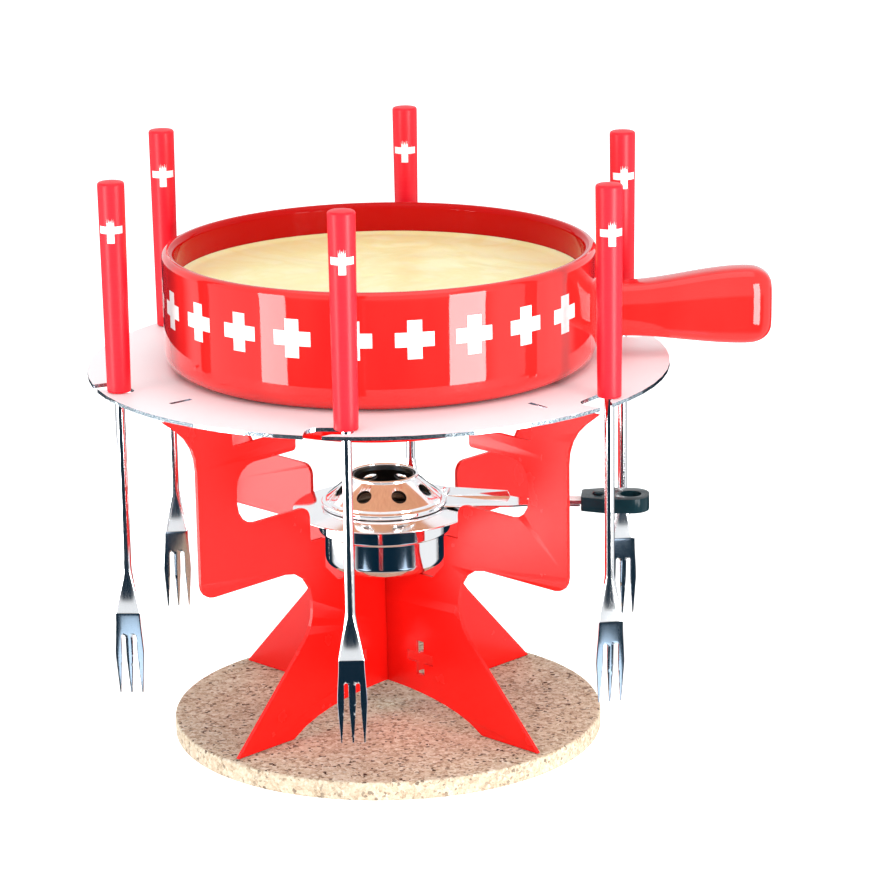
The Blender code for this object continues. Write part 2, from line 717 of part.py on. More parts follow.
def build_regulator_grip(parent):
    """The black grip with its hanging loop, the flat tang inside it and the rivet."""
    middle = (TANG_START + TANG_END) / 2
    tang = box("regulator_tang", (TANG_END - TANG_START, TANG_W, TANG_T), "satin_steel", parent)
    tang.location = (middle, 0.0, GRIP_H)
    rivet_hole = cylinder("rivet_hole", RIVET_R + GAP, 4 * GRIP_T, 16, group=CUTTERS)
    rivet_hole.parent = parent
    rivet_hole.location = (RIVET_AT, 0.0, GRIP_H)
    boolean(tang, rivet_hole, "DIFFERENCE")

    half = GRIP_W / 2
    corners = [
        (GRIP_START, -half + 3.5 * MM, 2.0 * MM),
        (GRIP_START + 12.0 * MM, -half, 14.0 * MM),
        (GRIP_END, -half, 9.0 * MM),
        (GRIP_END, half, 9.0 * MM),
        (GRIP_START + 12.0 * MM, half, 14.0 * MM),
        (GRIP_START, half - 3.5 * MM, 2.0 * MM),
    ]
    loop_at = GRIP_END - 4.0 * MM - GRIP_LOOP_R
    loop = [(x, y) for x, y in reversed(arc((loop_at, 0.0), GRIP_LOOP_R, 0, 360 - 360 / 20, 19))]
    grip = sheet("regulator_grip", [rounded(corners), loop], GRIP_T, "black_plastic",
                 parent=parent)
    grip.location = (0.0, 0.0, GRIP_H)
    bevel(grip, 1.2 * MM, 2, angle=60.0)
    pocket = box("tang_pocket", (TANG_END - TANG_START + 2 * GAP, TANG_W + 2 * GAP,
                                 TANG_T + 2 * GAP), group=CUTTERS)
    pocket.parent = parent
    pocket.location = (middle, 0.0, GRIP_H)
    boolean(grip, pocket, "DIFFERENCE")
    boolean(grip, rivet_hole, "DIFFERENCE")

    head_r = RIVET_R + 1.2 * MM
    head = GRIP_T / 2 + GAP
    profile = [(0.0, head + 1.0 * MM), (head_r * 0.7, head + 0.8 * MM), (head_r, head)]
    profile += [(RIVET_R, head), (RIVET_R, -head), (head_r, -head)]
    profile += [(head_r * 0.7, -head - 0.8 * MM), (0.0, -head - 1.0 * MM)]
    rivet = turned("grip_rivet", profile, 16, "black_plastic", parent)
    rivet.location = (RIVET_AT, 0.0, GRIP_H)


def build_burner(parent):
    burner = empty("burner_axis", (0.0, 0.0, BURNER_Z), parent)
    build_cup(burner)
    build_tank(burner)
    build_drip_plate(burner)
    build_air_sleeve(burner)
    regulator = empty("regulator_axis", (0.0, 0.0, 0.0), burner, HANDLE_TURN)
    build_regulator_cone(regulator)
    build_regulator_strap(regulator)
    build_regulator_grip(regulator)


# ---------------------------------------------------------------- forks

def fork_handle_profile():
    """A slightly tapered handle with a softly domed top and a small chamfer at its foot."""
    profile = [(0.0, FORK_HANDLE_H), (FORK_HANDLE_R * 0.6, FORK_HANDLE_H - 0.4 * MM)]
    dome = 1.4 * MM
    profile += arc((FORK_HANDLE_R - dome, FORK_HANDLE_H - dome - 0.8 * MM), dome, 70, 0, 3)
    profile += [(FORK_HANDLE_FOOT_R, 0.8 * MM), (FORK_HANDLE_FOOT_R - 0.8 * MM, 0.0)]
    bore = FORK_STEM_R + GAP
    profile += [(bore, 0.0), (bore, 30.0 * MM), (0.0, 30.0 * MM)]
    return profile


def fork_head_outline():
    """The flat fork head, from the stem down to three pointed tines."""
    right = [
        (FORK_STEM_R * 0.9, FORK_WIDEN_H + 6.0 * MM),
        (FORK_STEM_R, FORK_WIDEN_H),
        (FORK_STEM_R + 1.2 * MM, (FORK_WIDEN_H * 2 + FORK_CREASE_H) / 3),
        (FORK_CREASE_HALF, FORK_CREASE_H),
        (FORK_BLADE_HALF, FORK_WIDEST_H),
        (TINE_STEP + 0.35 * MM, FORK_TIP_H),
        (TINE_STEP - 0.35 * MM, FORK_TIP_H),
    ]
    inner_wall = TINE_STEP / 2 + TINE_GAP / 2
    centre_wall = TINE_STEP / 2 - TINE_GAP / 2
    right += [(inner_wall + 0.4 * MM, FORK_WIDEST_H)]
    right += arc((TINE_STEP / 2, FORK_SLOT_H - TINE_GAP / 2), TINE_GAP / 2, 0, 180, 4)
    right += [(centre_wall, FORK_WIDEST_H), (0.35 * MM, FORK_TIP_H)]
    return right + [(-x, y) for x, y in reversed(right)]


def fork_blade_mesh():
    """The round stem joined to the flat head, modelled upright and facing -Y."""
    overlap = 8.0 * MM
    stem_top = 28.0 * MM
    stem_bottom = FORK_WIDEN_H - overlap
    stem = cylinder("fork_stem", FORK_STEM_R, stem_top - stem_bottom, 14, group=CUTTERS)
    stem.location = (0.0, 0.0, (stem_top + stem_bottom) / 2)
    head = sheet("fork_head", [fork_head_outline()], FORK_BLADE_T, group=CUTTERS)
    head.rotation_euler = (math.radians(90), 0.0, 0.0)
    bpy.context.view_layer.update()
    joined = add_cutter("fork_joined", stem.data.copy())
    joined.location = stem.location
    boolean(joined, head, "UNION")
    bpy.context.view_layer.update()
    mesh = evaluated_mesh(joined, "fork_blade")
    mesh.transform(joined.matrix_world)
    for spare in (joined, stem, head):
        bpy.data.objects.remove(spare, do_unlink=True)
    shade(mesh)
    return mesh


def build_forks(parent):
    """Six forks, each hanging from a hinge empty at the middle of its slot's arc."""
    blade = fork_blade_mesh()
    for number in range(FORKS):
        angle = PLATE_TURN + 2 * math.pi * number / FORKS
        outward = Vector((math.sin(angle), -math.cos(angle), 0.0))
        hinge_place = outward * (FORK_RADII[number] + FORK_SWING_R)
        hinge_place += Vector((PLATE_SHIFT[0], PLATE_SHIFT[1], PLATE_TOP + GAP))
        hinge = empty("fork_%d_hinge" % (number + 1), hinge_place, parent)
        seat = outward * -FORK_SWING_R
        yaw = math.radians(FORK_YAWS[number])
        label = "fork_%d" % (number + 1)
        handle = turned(label + "_handle", fork_handle_profile(), 18, "red_handle", hinge)
        blade_object = add_object(label + "_blade", blade.copy(), "satin_steel", parent=hinge)
        for piece in (handle, blade_object):
            piece.location = seat
            piece.rotation_euler = (0.0, 0.0, yaw)


# ---------------------------------------------------------------- assembly

def main():
    clear_scene()
    collection(COLLECTION)
    collection(CUTTERS)
    base = empty("base", (0.0, 0.0, 0.0))
    build_cork(base)
    build_stand(base)
    build_top_plate(base)
    build_pot(base)
    build_cheese(base)
    build_burner(base)
    build_forks(base)


main()
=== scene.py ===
"""Looks of the fondue pot set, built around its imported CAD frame. Metres, +Z up, -Y is the front."""

import math

import bmesh
import bpy
from mathutils import Matrix, Vector, noise


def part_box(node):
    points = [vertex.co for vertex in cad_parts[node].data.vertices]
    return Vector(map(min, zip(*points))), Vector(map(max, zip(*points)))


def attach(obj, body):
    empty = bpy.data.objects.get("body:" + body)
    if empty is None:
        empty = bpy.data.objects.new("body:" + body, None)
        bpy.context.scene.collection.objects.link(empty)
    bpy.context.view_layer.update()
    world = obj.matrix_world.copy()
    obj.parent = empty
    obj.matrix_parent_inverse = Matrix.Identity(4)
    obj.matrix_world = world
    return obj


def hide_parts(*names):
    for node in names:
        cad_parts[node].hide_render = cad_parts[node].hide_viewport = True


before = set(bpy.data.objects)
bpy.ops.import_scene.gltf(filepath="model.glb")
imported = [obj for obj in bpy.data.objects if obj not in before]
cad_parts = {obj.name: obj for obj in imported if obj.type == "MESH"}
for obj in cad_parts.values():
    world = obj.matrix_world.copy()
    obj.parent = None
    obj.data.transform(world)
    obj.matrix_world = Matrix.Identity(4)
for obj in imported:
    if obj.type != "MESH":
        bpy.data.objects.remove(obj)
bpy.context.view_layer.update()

MM = 0.001

# ---------------- sizes from the frame

CORK_LOW, CORK_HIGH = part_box("cork_base")
POT_LOW, POT_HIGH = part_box("pot")
PLATE_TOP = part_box("top_plate")[1].z
CHEESE_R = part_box("cheese_fill")[1].x
BURNER_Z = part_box("burner_cup")[0].z

GAP = 0.3 * MM
POT_R = -POT_LOW.x
POT_WALL = 6.4 * MM
POT_BOTTOM = PLATE_TOP + GAP
POT_TOP = POT_HIGH.z
POT_FOOT_R = 76.0 * MM
POT_FOOT_Z = POT_LOW.z
POT_FLOOR = 6.5 * MM
POT_CORNER = 9.0 * MM
CHEESE_LEVEL = POT_TOP - 15.9 * MM
HANDLE_TURN = math.radians(-6.0)
FORKS = 6
FORK_YAWS = (0, 10, 4, -3, 5, -4)
FORK_HANDLE_R = 6.75 * MM
FORK_HANDLE_FOOT_R = 6.0 * MM
FORK_HANDLE_H = 107.0 * MM


# ---------------- outlines and meshes

def arc(centre, radius, start, end, steps):
    """Points of an arc, both ends included; angles in degrees."""
    points = []
    for i in range(steps + 1):
        angle = math.radians(start + (end - start) * i / steps)
        points.append((centre[0] + radius * math.cos(angle), centre[1] + radius * math.sin(angle)))
    return points


def rounded(corners, steps=8, closed=False):
    """An outline from (x, y, radius) corners, each rounded by an arc of its radius."""
    points = []
    count = len(corners)
    for i, (x, y, radius) in enumerate(corners):
        at_end = not closed and i in (0, count - 1)
        if radius == 0 or at_end:
            points.append((x, y))
            continue
        corner = Vector((x, y))
        back = (Vector(corners[i - 1][:2]) - corner).normalized()
        ahead = (Vector(corners[(i + 1) % count][:2]) - corner).normalized()
        half = back.angle(ahead) / 2
        centre = corner + (back + ahead).normalized() * (radius / math.sin(half))
        first = corner + back * (radius / math.tan(half)) - centre
        turn = math.pi - 2 * half
        if back.cross(ahead) > 0:
            turn = -turn
        for step in range(steps + 1):
            spot = centre + Matrix.Rotation(turn * step / steps, 2) @ first
            points.append((spot.x, spot.y))
    return points


def divided(profile, longest):
    """The same profile with its long stretches cut into shorter ones."""
    points = [profile[0]]
    for start, end in zip(profile, profile[1:]):
        length = math.dist(start, end)
        cuts = max(1, math.ceil(length / longest))
        for i in range(1, cuts + 1):
            share = i / cuts
            points.append((start[0] + (end[0] - start[0]) * share,
                           start[1] + (end[1] - start[1]) * share))
    return points


def raw_mesh(shape, name):
    mesh = bpy.data.meshes.new(name)
    shape.to_mesh(mesh)
    shape.free()
    return mesh


def finished_mesh(shape, name, sharp=40.0):
    bmesh.ops.recalc_face_normals(shape, faces=shape.faces)
    mesh = raw_mesh(shape, name)
    mesh.shade_smooth()
    mesh.set_sharp_from_angle(angle=math.radians(sharp))
    return mesh


def lathe(name, profile, steps=160, closed=False, sharp=40.0):
    """A turned mesh from (radius, height) points; a radius of 0 is a pole."""
    shape = bmesh.new()
    rings = []
    for radius, height in profile:
        if radius < 1e-7:
            rings.append([shape.verts.new((0.0, 0.0, height))])
            continue
        ring = []
        for i in range(steps):
            angle = 2 * math.pi * i / steps
            ring.append(shape.verts.new((radius * math.cos(angle), radius * math.sin(angle), height)))
        rings.append(ring)
    following = rings[1:] + ([rings[0]] if closed else [])
    for upper, lower in zip(rings, following):
        for i in range(steps):
            j = (i + 1) % steps
            if len(upper) == 1:
                shape.faces.new((upper[0], lower[j], lower[i]))
            elif len(lower) == 1:
                shape.faces.new((upper[i], upper[j], lower[0]))
            else:
                shape.faces.new((upper[i], upper[j], lower[j], lower[i]))
    return finished_mesh(shape, name, sharp)


def loft(name, sections, sharp=40.0):
    """A closed mesh through rings of equal point counts, with flat end caps."""
    shape = bmesh.new()
    rings = [[shape.verts.new(point) for point in section] for section in sections]
    count = len(rings[0])
    for first, second in zip(rings, rings[1:]):
        for i in range(count):
            j = (i + 1) % count
            shape.faces.new((first[i], first[j], second[j], second[i]))
    shape.faces.new(rings[0])
    shape.faces.new(rings[-1])
    return finished_mesh(shape, name, sharp)


def slab(name, outlines, thickness, sharp=40.0):
    """A flat plate in the XY plane, centred on Z = 0; inner outlines are holes."""
    curve = bpy.data.curves.new(name, "CURVE")
    curve.dimensions = "2D"
    curve.fill_mode = "BOTH"
    curve.extrude = thickness / 2
    for outline in outlines:
        spline = curve.splines.new("POLY")
        spline.points.add(len(outline) - 1)
        for point, (x, y) in zip(spline.points, outline):
            point.co = (x, y, 0.0, 1.0)
        spline.use_cyclic_u = True
    guide = bpy.data.objects.new(name + "_outline", curve)
    bpy.context.scene.collection.objects.link(guide)
    bpy.context.view_layer.update()
    graph = bpy.context.evaluated_depsgraph_get()
    raw = bpy.data.meshes.new_from_object(guide.evaluated_get(graph))
    bpy.data.objects.remove(guide, do_unlink=True)
    bpy.data.curves.remove(curve)
    shape = bmesh.new()
    shape.from_mesh(raw)
    bpy.data.meshes.remove(raw)
    bmesh.ops.remove_doubles(shape, verts=shape.verts, dist=0.002 * MM)
    return finished_mesh(shape, name, sharp)


def superellipse(half_x, half_y, power, count):
    """Points of a closed superellipse; power 2 is an ellipse, more is squarer."""
    points = []
    for i in range(count):
        angle = 2 * math.pi * i / count
        c, s = math.cos(angle), math.sin(angle)
        points.append((half_x * math.copysign(abs(c) ** (2 / power), c),
                       half_y * math.copysign(abs(s) ** (2 / power), s)))
    return points


def smoothstep(low, high, value):
    share = min(1.0, max(0.0, (value - low) / (high - low)))
    return share * share * (3 - 2 * share)


# ---------------- pieces

def add(name, mesh, look=None):
    obj = bpy.data.objects.new(name, mesh)
    bpy.context.scene.collection.objects.link(obj)
    if look:
        mesh.materials.clear()
        mesh.materials.append(look)
    return obj


def piece(name, mesh, look, body, nodes=(), place=None):
    """A visible piece that rides on a body, takes the given finish and stands for CAD nodes, which it
    hides.
    """
    obj = add(name, mesh, look)
    if place:
        obj.matrix_world = place
    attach(obj, body)
    if nodes:
        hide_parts(*nodes)
    return obj


def cut(obj, cutter_mesh, place=None):
    """Cuts a mesh out of an object for good."""
    cutter = add("cutter", cutter_mesh)
    if place:
        cutter.matrix_world = place
    modifier = obj.modifiers.new("cut", "BOOLEAN")
    modifier.operation = "DIFFERENCE"
    modifier.solver = "EXACT"
    modifier.object = cutter
    apply_modifiers(obj)
    bpy.data.objects.remove(cutter, do_unlink=True)


def apply_modifiers(obj):
    bpy.context.view_layer.update()
    graph = bpy.context.evaluated_depsgraph_get()
    mesh = bpy.data.meshes.new_from_object(obj.evaluated_get(graph))
    mesh.name = obj.data.name
    obj.modifiers.clear()
    obj.data = mesh
    mesh.shade_smooth()
    mesh.set_sharp_from_angle(angle=math.radians(40.0))


def mesh_of(obj):
    """An object's mesh, kept when the object itself goes."""
    mesh = obj.data
    bpy.data.objects.remove(obj, do_unlink=True)
    return mesh


def soften_edges(obj, width, segments=2, angle=30.0):
    edges = obj.modifiers.new("edges", "BEVEL")
    edges.width = width
    edges.segments = segments
    edges.limit_method = "ANGLE"
    edges.angle_limit = math.radians(angle)
    edges.harden_normals = True


def refine_cad(node, look, width):
    """Gives a CAD node its finish and soft edges; its own mesh stays as it is."""
    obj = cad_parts[node]
    obj.data.materials.clear()
    obj.data.materials.append(look)
    weld = obj.modifiers.new("weld", "WELD")
    weld.merge_threshold = 0.01 * MM
    soften_edges(obj, width)
    return obj


# ---------------- materials

class Nodes:
    """A small builder of shader nodes in one tree."""

    def __init__(self, tree):
        self.tree = tree

    def link(self, output, socket):
        self.tree.links.new(output, socket)

    def node(self, kind, inputs=(), **settings):
        node = self.tree.nodes.new(kind)
        for name, value in settings.items():
            setattr(node, name, value)
        for socket, value in dict(inputs).items():
            if isinstance(value, bpy.types.NodeSocket):
                self.link(value, node.inputs[socket])
            elif node.inputs[socket].type == "RGBA":
                node.inputs[socket].default_value = (*value, 1.0)
            else:
                node.inputs[socket].default_value = value
        return node

    def maths(self, operation, first, second=0.0):
        return self.node("ShaderNodeMath", {0: first, 1: second}, operation=operation).outputs[0]

    def mix(self, factor, first, second, blend="MIX"):
        inputs = {0: factor, 6: first, 7: second}
        return self.node("ShaderNodeMix", inputs, data_type="RGBA", blend_type=blend).outputs[2]

    def step(self, value, low, high):
        """A smooth rise from 0 at low to 1 at high."""
        inputs = {"Value": value, "From Min": low, "From Max": high}
        return self.node("ShaderNodeMapRange", inputs, interpolation_type="SMOOTHSTEP").outputs["Result"]

    def parts(self, vector):
        """The X, Y and Z of a vector."""
        return self.node("ShaderNodeSeparateXYZ", {0: vector}).outputs


class Look(Nodes):
    """A node material built round one Principled shader, in object coordinates."""

    def __init__(self, name, colour, roughness, metallic=0.0):
        self.material = bpy.data.materials.new(name)
        self.material.use_nodes = True
        super().__init__(self.material.node_tree)
        self.shader = self.tree.nodes["Principled BSDF"]
        self.shader.inputs["Base Color"].default_value = (*colour, 1.0)
        self.shader.inputs["Roughness"].default_value = roughness
        self.shader.inputs["Metallic"].default_value = metallic
        self.place = self.tree.nodes.new("ShaderNodeTexCoord").outputs["Object"]

    def set(self, **values):
        for name, value in values.items():
            self.shader.inputs[name.replace("_", " ")].default_value = value

    def feed(self, output, name):
        self.link(output, self.shader.inputs[name])

    def stretched(self, x, y, z):
        """Object coordinates scaled per axis."""
        node = self.node("ShaderNodeMapping", {"Vector": self.place, "Scale": (x, y, z)})
        return node.outputs["Vector"]

    def upright(self):
        """The Z of the surface's normal: 1 on a top, 0 on a side."""
        return self.parts(self.node("ShaderNodeNewGeometry").outputs["Normal"])["Z"]

    def noise(self, scale, detail=4.0, vector=None, distortion=0.0, roughness=0.5):
        node = self.node("ShaderNodeTexNoise", {
            "Vector": vector or self.place, "Scale": scale, "Detail": detail,
            "Distortion": distortion, "Roughness": roughness})
        return node.outputs["Fac"]

    def cells(self, scale, output="Distance", vector=None, feature="F1"):
        inputs = {"Vector": vector or self.place, "Scale": scale}
        return self.node("ShaderNodeTexVoronoi", inputs, feature=feature).outputs[output]

    def ramp(self, factor, stops):
        """A colour ramp; a stop's colour may be one grey value."""
        node = self.node("ShaderNodeValToRGB", {"Fac": factor})
        elements = node.color_ramp.elements
        while len(elements) < len(stops):
            elements.new(0.5)
        for element, (position, colour) in zip(elements, stops):
            element.position = position
            if isinstance(colour, (int, float)):
                colour = (colour, colour, colour)
            element.color = (*colour, 1.0)
        return node.outputs["Color"]

    def channel(self, colour, index):
        return self.node("ShaderNodeSeparateColor", {0: colour}).outputs[index]

    def spread(self, factor, low, high):
        """A 0 to 1 value moved to low to high."""
        node = self.node("ShaderNodeMapRange", {"Value": factor, "To Min": low, "To Max": high})
        return node.outputs["Result"]

    def bump(self, height, distance, strength=1.0, below=None):
        inputs = {"Height": height, "Distance": distance, "Strength": strength}
        if below:
            inputs["Normal"] = below
        return self.node("ShaderNodeBump", inputs).outputs["Normal"]


def cork_look():
    """Pressed cork: granules of many browns, dark specks of bark, small pits, and sides painted lighter
    and yellower as painted light.
    """
    look = Look("cork", (0.62, 0.42, 0.29), 0.85)
    wobble = look.node("ShaderNodeTexNoise", {"Vector": look.place, "Scale": 300.0})
    shift = look.node("ShaderNodeVectorMath", {0: wobble.outputs["Color"]}, operation="SCALE")
    shift.inputs["Scale"].default_value = 1.6 * MM
    shifted = look.node("ShaderNodeVectorMath", {0: look.place, 1: shift.outputs[0]},
                        operation="ADD")
    place = shifted.outputs[0]
    granule = look.channel(look.cells(520.0, "Color", place), 0)
    fine = look.channel(look.cells(1100.0, "Color", place), 1)
    tone = look.maths("ADD", look.maths("MULTIPLY", granule, 0.62),
                      look.maths("MULTIPLY", fine, 0.38))
    colour = look.ramp(tone, [
        (0.05, (0.34, 0.20, 0.125)), (0.28, (0.62, 0.44, 0.31)), (0.50, (0.76, 0.58, 0.43)),
        (0.75, (0.86, 0.70, 0.55)), (0.95, (0.98, 0.87, 0.74))])
    chance = look.channel(look.cells(640.0, "Color", place), 2)
    specks = look.ramp(chance, [(0.0, 1.0), (0.075, 1.0), (0.09, 0.0), (1.0, 0.0)])
    patches = look.ramp(look.noise(120.0, 3.0), [(0.42, 0.0), (0.62, 1.0)])
    dark = look.maths("MULTIPLY", specks, look.spread(patches, 0.45, 1.0))
    colour = look.mix(dark, colour, (0.075, 0.030, 0.018))
    broad = look.ramp(look.noise(14.0, 2.0), [(0.3, (0.64, 0.71, 0.71)), (0.7, (0.78, 0.83, 0.80))])
    colour = look.mix(1.0, colour, broad, "MULTIPLY")
    # Painted light: faces that turn away from up are mixed a quarter of the way toward a lighter,
    # yellower tan.
    side = look.maths("SUBTRACT", 1.0, look.maths("ABSOLUTE", look.upright()))
    colour = look.mix(look.maths("MULTIPLY", side, 0.25), colour, (0.80, 0.65, 0.47))
    look.feed(colour, "Base Color")
    edges = look.cells(520.0, "Distance", place, "DISTANCE_TO_EDGE")
    pits = look.maths("SUBTRACT", look.ramp(edges, [(0.0, 0.0), (0.12, 1.0)]),
                      look.maths("MULTIPLY", dark, 1.5))
    first = look.bump(pits, 0.25 * MM, 0.6)
    look.feed(look.bump(look.noise(1400.0, 3.0), 0.12 * MM, 0.6, first), "Normal")
    look.feed(look.spread(look.noise(500.0), 0.72, 0.95), "Roughness")
    look.set(Specular_IOR_Level=0.25)
    return look.material


def paint_look():
    """Satin powder coat: a fine orange peel, faint clouds of deeper red and small darker specks."""
    look = Look("red_paint", (0.72, 0.006, 0.003), 0.3)
    cloud = look.ramp(look.noise(9.0, 3.0), [(0.3, (0.68, 0.004, 0.002)), (0.7, (0.78, 0.007, 0.004))])
    specks = look.ramp(look.noise(1900.0, 2.0), [(0.70, 0.0), (0.78, 1.0)])
    look.feed(look.mix(look.maths("MULTIPLY", specks, 0.25), cloud, (0.60, 0.004, 0.003)), "Base Color")
    look.feed(look.spread(look.noise(60.0, 4.0), 0.22, 0.30), "Roughness")
    peel = look.bump(look.noise(700.0, 2.0), 0.02 * MM, 0.35)
    look.feed(look.bump(look.noise(2600.0, 2.0), 0.006 * MM, 0.3, peel), "Normal")
    look.set(Specular_IOR_Level=0.27, Coat_Weight=0.10, Coat_Roughness=0.2)
    return look.material


def satin_steel_look():
    """Pale blasted sheet with a faint straight grain, and bright cut edges."""
    look = Look("satin_steel", (0.93, 0.91, 0.91), 0.5, 1.0)
    grain = look.noise(1.0, 3.0, look.stretched(30.0, 2600.0, 900.0))
    broad = look.noise(7.0, 3.0)
    specks = look.noise(1500.0, 2.0)
    edge = look.maths("LESS_THAN", look.maths("ABSOLUTE", look.upright()), 0.5)
    face = look.mix(grain, (0.915, 0.945, 0.95), (0.965, 0.99, 0.995))
    cut_edge = look.mix(look.ramp(specks, [(0.45, 0.0), (0.58, 1.0)]),
                        (0.30, 0.42, 0.50), (0.80, 0.86, 0.90))
    look.feed(look.mix(edge, face, cut_edge), "Base Color")
    look.feed(look.maths("ADD", look.maths("MULTIPLY", edge, 0.85), 0.15), "Metallic")
    rough = look.maths("ADD", look.spread(grain, 0.42, 0.56), look.spread(broad, -0.03, 0.05))
    look.feed(look.maths("SUBTRACT", rough, look.maths("MULTIPLY", edge, 0.28)), "Roughness")
    rolled = look.bump(grain, 0.004 * MM, 0.5)
    sawn = look.maths("MULTIPLY", edge, specks)
    look.feed(look.bump(sawn, 0.05 * MM, 0.5, rolled), "Normal")
    return look.material


def polished_steel_look():
    """Mirror-polished pressed steel with faint turning lines and handling haze."""
    look = Look("polished_steel", (0.86, 0.86, 0.87), 0.07, 1.0)
    haze = look.noise(45.0, 4.0)
    look.feed(look.spread(haze, 0.04, 0.13), "Roughness")
    turning = look.noise(1.0, 2.0, look.stretched(40.0, 40.0, 2600.0))
    look.feed(look.mix(haze, (0.90, 0.90, 0.915), (0.97, 0.97, 0.975)), "Base Color")
    look.feed(look.bump(turning, 0.003 * MM, 0.35), "Normal")
    return look.material


def tank_steel_look():
    """Plain rolled sheet in soft blue and straw heat tints, kept near black as painted shade for the
    inside of the burner's chimney.
    """
    look = Look("tank_steel", (0.10, 0.11, 0.12), 0.35, 1.0)
    # Partly real heat tint, partly painted shade: the base stays near black so the sleeve and tank read
    # dark inside the chimney.
    tint = look.ramp(look.noise(60.0, 3.0), [
        (0.30, (0.06, 0.07, 0.08)), (0.48, (0.11, 0.12, 0.13)), (0.60, (0.15, 0.13, 0.10)),
        (0.75, (0.10, 0.12, 0.16))])
    look.feed(tint, "Base Color")
    look.feed(look.spread(look.noise(200.0), 0.25, 0.5), "Roughness")
    look.feed(look.bump(look.noise(900.0), 0.01 * MM, 0.3), "Normal")
    return look.material


def fork_steel_look():
    """Polished stainless with a faint lengthwise grain."""
    look = Look("fork_steel", (0.80, 0.81, 0.83), 0.14, 1.0)
    grain = look.noise(1.0, 3.0, look.stretched(1800.0, 1800.0, 40.0))
    look.feed(look.mix(grain, (0.84, 0.855, 0.875), (0.95, 0.955, 0.965)), "Base Color")
    look.feed(look.spread(grain, 0.08, 0.2), "Roughness")
    look.feed(look.bump(grain, 0.003 * MM, 0.4), "Normal")
    return look.material


def glaze_look():
    """Glossy red glaze over the body, painted a darker red inside the pot as painted shade, and bare
    clay under the foot.
    """
    look = Look("red_glaze", (0.70, 0.018, 0.015), 0.06)
    height = look.parts(look.place)["Z"]
    flow = look.noise(26.0, 3.0, look.stretched(1.0, 1.0, 0.35))
    red = look.ramp(flow, [(0.25, (0.62, 0.011, 0.010)), (0.55, (0.70, 0.018, 0.015)),
                           (0.8, (0.77, 0.024, 0.020))])
    flat = look.node("ShaderNodeVectorMath", {0: look.stretched(1.0, 1.0, 0.0)}, operation="LENGTH")
    inside = look.maths("LESS_THAN", flat.outputs["Value"], POT_R - POT_WALL * 0.6)
    # Painted shade: everything inside the wall, the inner half of the rim too, is mixed to a darker red.
    red = look.mix(inside, red, (0.52, 0.004, 0.003))
    pin = look.ramp(look.noise(900.0, 1.0), [(0.74, 0.0), (0.80, 1.0)])
    red = look.mix(look.maths("MULTIPLY", pin, 0.35), red, (0.45, 0.004, 0.004))
    clay = look.ramp(look.noise(420.0, 5.0), [(0.3, (0.50, 0.24, 0.13)), (0.7, (0.66, 0.36, 0.21))])
    line = look.maths("ADD", height, look.maths("MULTIPLY", look.noise(90.0, 2.0), 0.6 * MM))
    bare = look.maths("LESS_THAN", line, POT_FOOT_Z + 0.5 * MM)
    look.feed(look.mix(bare, red, clay), "Base Color")
    look.feed(look.maths("MULTIPLY_ADD", bare, 0.72), "Roughness")
    rough = look.shader.inputs["Roughness"].links[0].from_node
    look.link(look.spread(look.noise(30.0), 0.035, 0.075), rough.inputs[2])
    wave = look.bump(look.noise(22.0, 2.0), 0.5 * MM, 0.25)
    skin = look.bump(look.noise(300.0, 2.0), 0.012 * MM, 0.3, wave)
    look.feed(look.bump(look.maths("MULTIPLY", bare, look.noise(1500.0, 3.0)), 0.15 * MM, 0.6, skin),
              "Normal")
    look.feed(look.spread(inside, 0.8, 0.0), "Coat Weight")
    look.set(IOR=1.42, Specular_IOR_Level=0.12, Coat_Roughness=0.03)
    return look.material


def white_glaze_look(name, roughness):
    look = Look(name, (0.90, 0.88, 0.86), roughness)
    cloud = look.noise(260.0, 3.0)
    look.feed(look.ramp(cloud, [(0.3, (0.86, 0.83, 0.81)), (0.7, (0.94, 0.925, 0.91))]), "Base Color")
    look.feed(look.spread(look.noise(90.0), roughness * 0.8, roughness * 1.3), "Roughness")
    look.feed(look.bump(look.noise(500.0, 2.0), 0.01 * MM, 0.3), "Normal")
    return look.material


def cheese_look():
    """Melted cheese: cream with slow yellow swirls and a moist skin."""
    look = Look("cheese", (0.97, 0.82, 0.50), 0.35)
    drift = look.noise(11.0, 3.0, distortion=2.4)
    fine = look.noise(46.0, 4.0, distortion=1.2)
    blend = look.maths("MULTIPLY_ADD", drift, 0.75)
    look.link(look.maths("MULTIPLY", fine, 0.25), blend.node.inputs[2])
    colour = look.ramp(blend, [
        (0.30, (0.96, 0.92, 0.54)), (0.44, (0.95, 0.89, 0.48)), (0.52, (0.92, 0.83, 0.38)),
        (0.58, (0.95, 0.89, 0.48)), (0.75, (0.97, 0.93, 0.58))])
    look.feed(colour, "Base Color")
    look.feed(look.spread(fine, 0.24, 0.46), "Roughness")
    ripple = look.bump(blend, 2.0 * MM, 0.5)
    look.feed(look.bump(look.noise(340.0, 3.0), 0.08 * MM, 0.4, ripple), "Normal")
    look.set(Subsurface_Weight=0.25, Subsurface_Scale=0.004, Coat_Weight=0.2, Coat_Roughness=0.2)
    look.shader.inputs["Subsurface Radius"].default_value = (1.0, 0.6, 0.25)
    return look.material


def plastic_look():
    """Glossy moulded black with a slight blue cast and a fine grain."""
    look = Look("black_plastic", (0.006, 0.013, 0.018), 0.2)
    look.feed(look.ramp(look.noise(40.0, 3.0), [(0.3, (0.003, 0.014, 0.019)),
                                                (0.7, (0.007, 0.024, 0.031))]), "Base Color")
    look.feed(look.spread(look.noise(350.0, 3.0), 0.12, 0.22), "Roughness")
    look.feed(look.bump(look.noise(1500.0, 2.0), 0.012 * MM, 0.3), "Normal")
    look.set(Specular_IOR_Level=0.14)
    return look.material


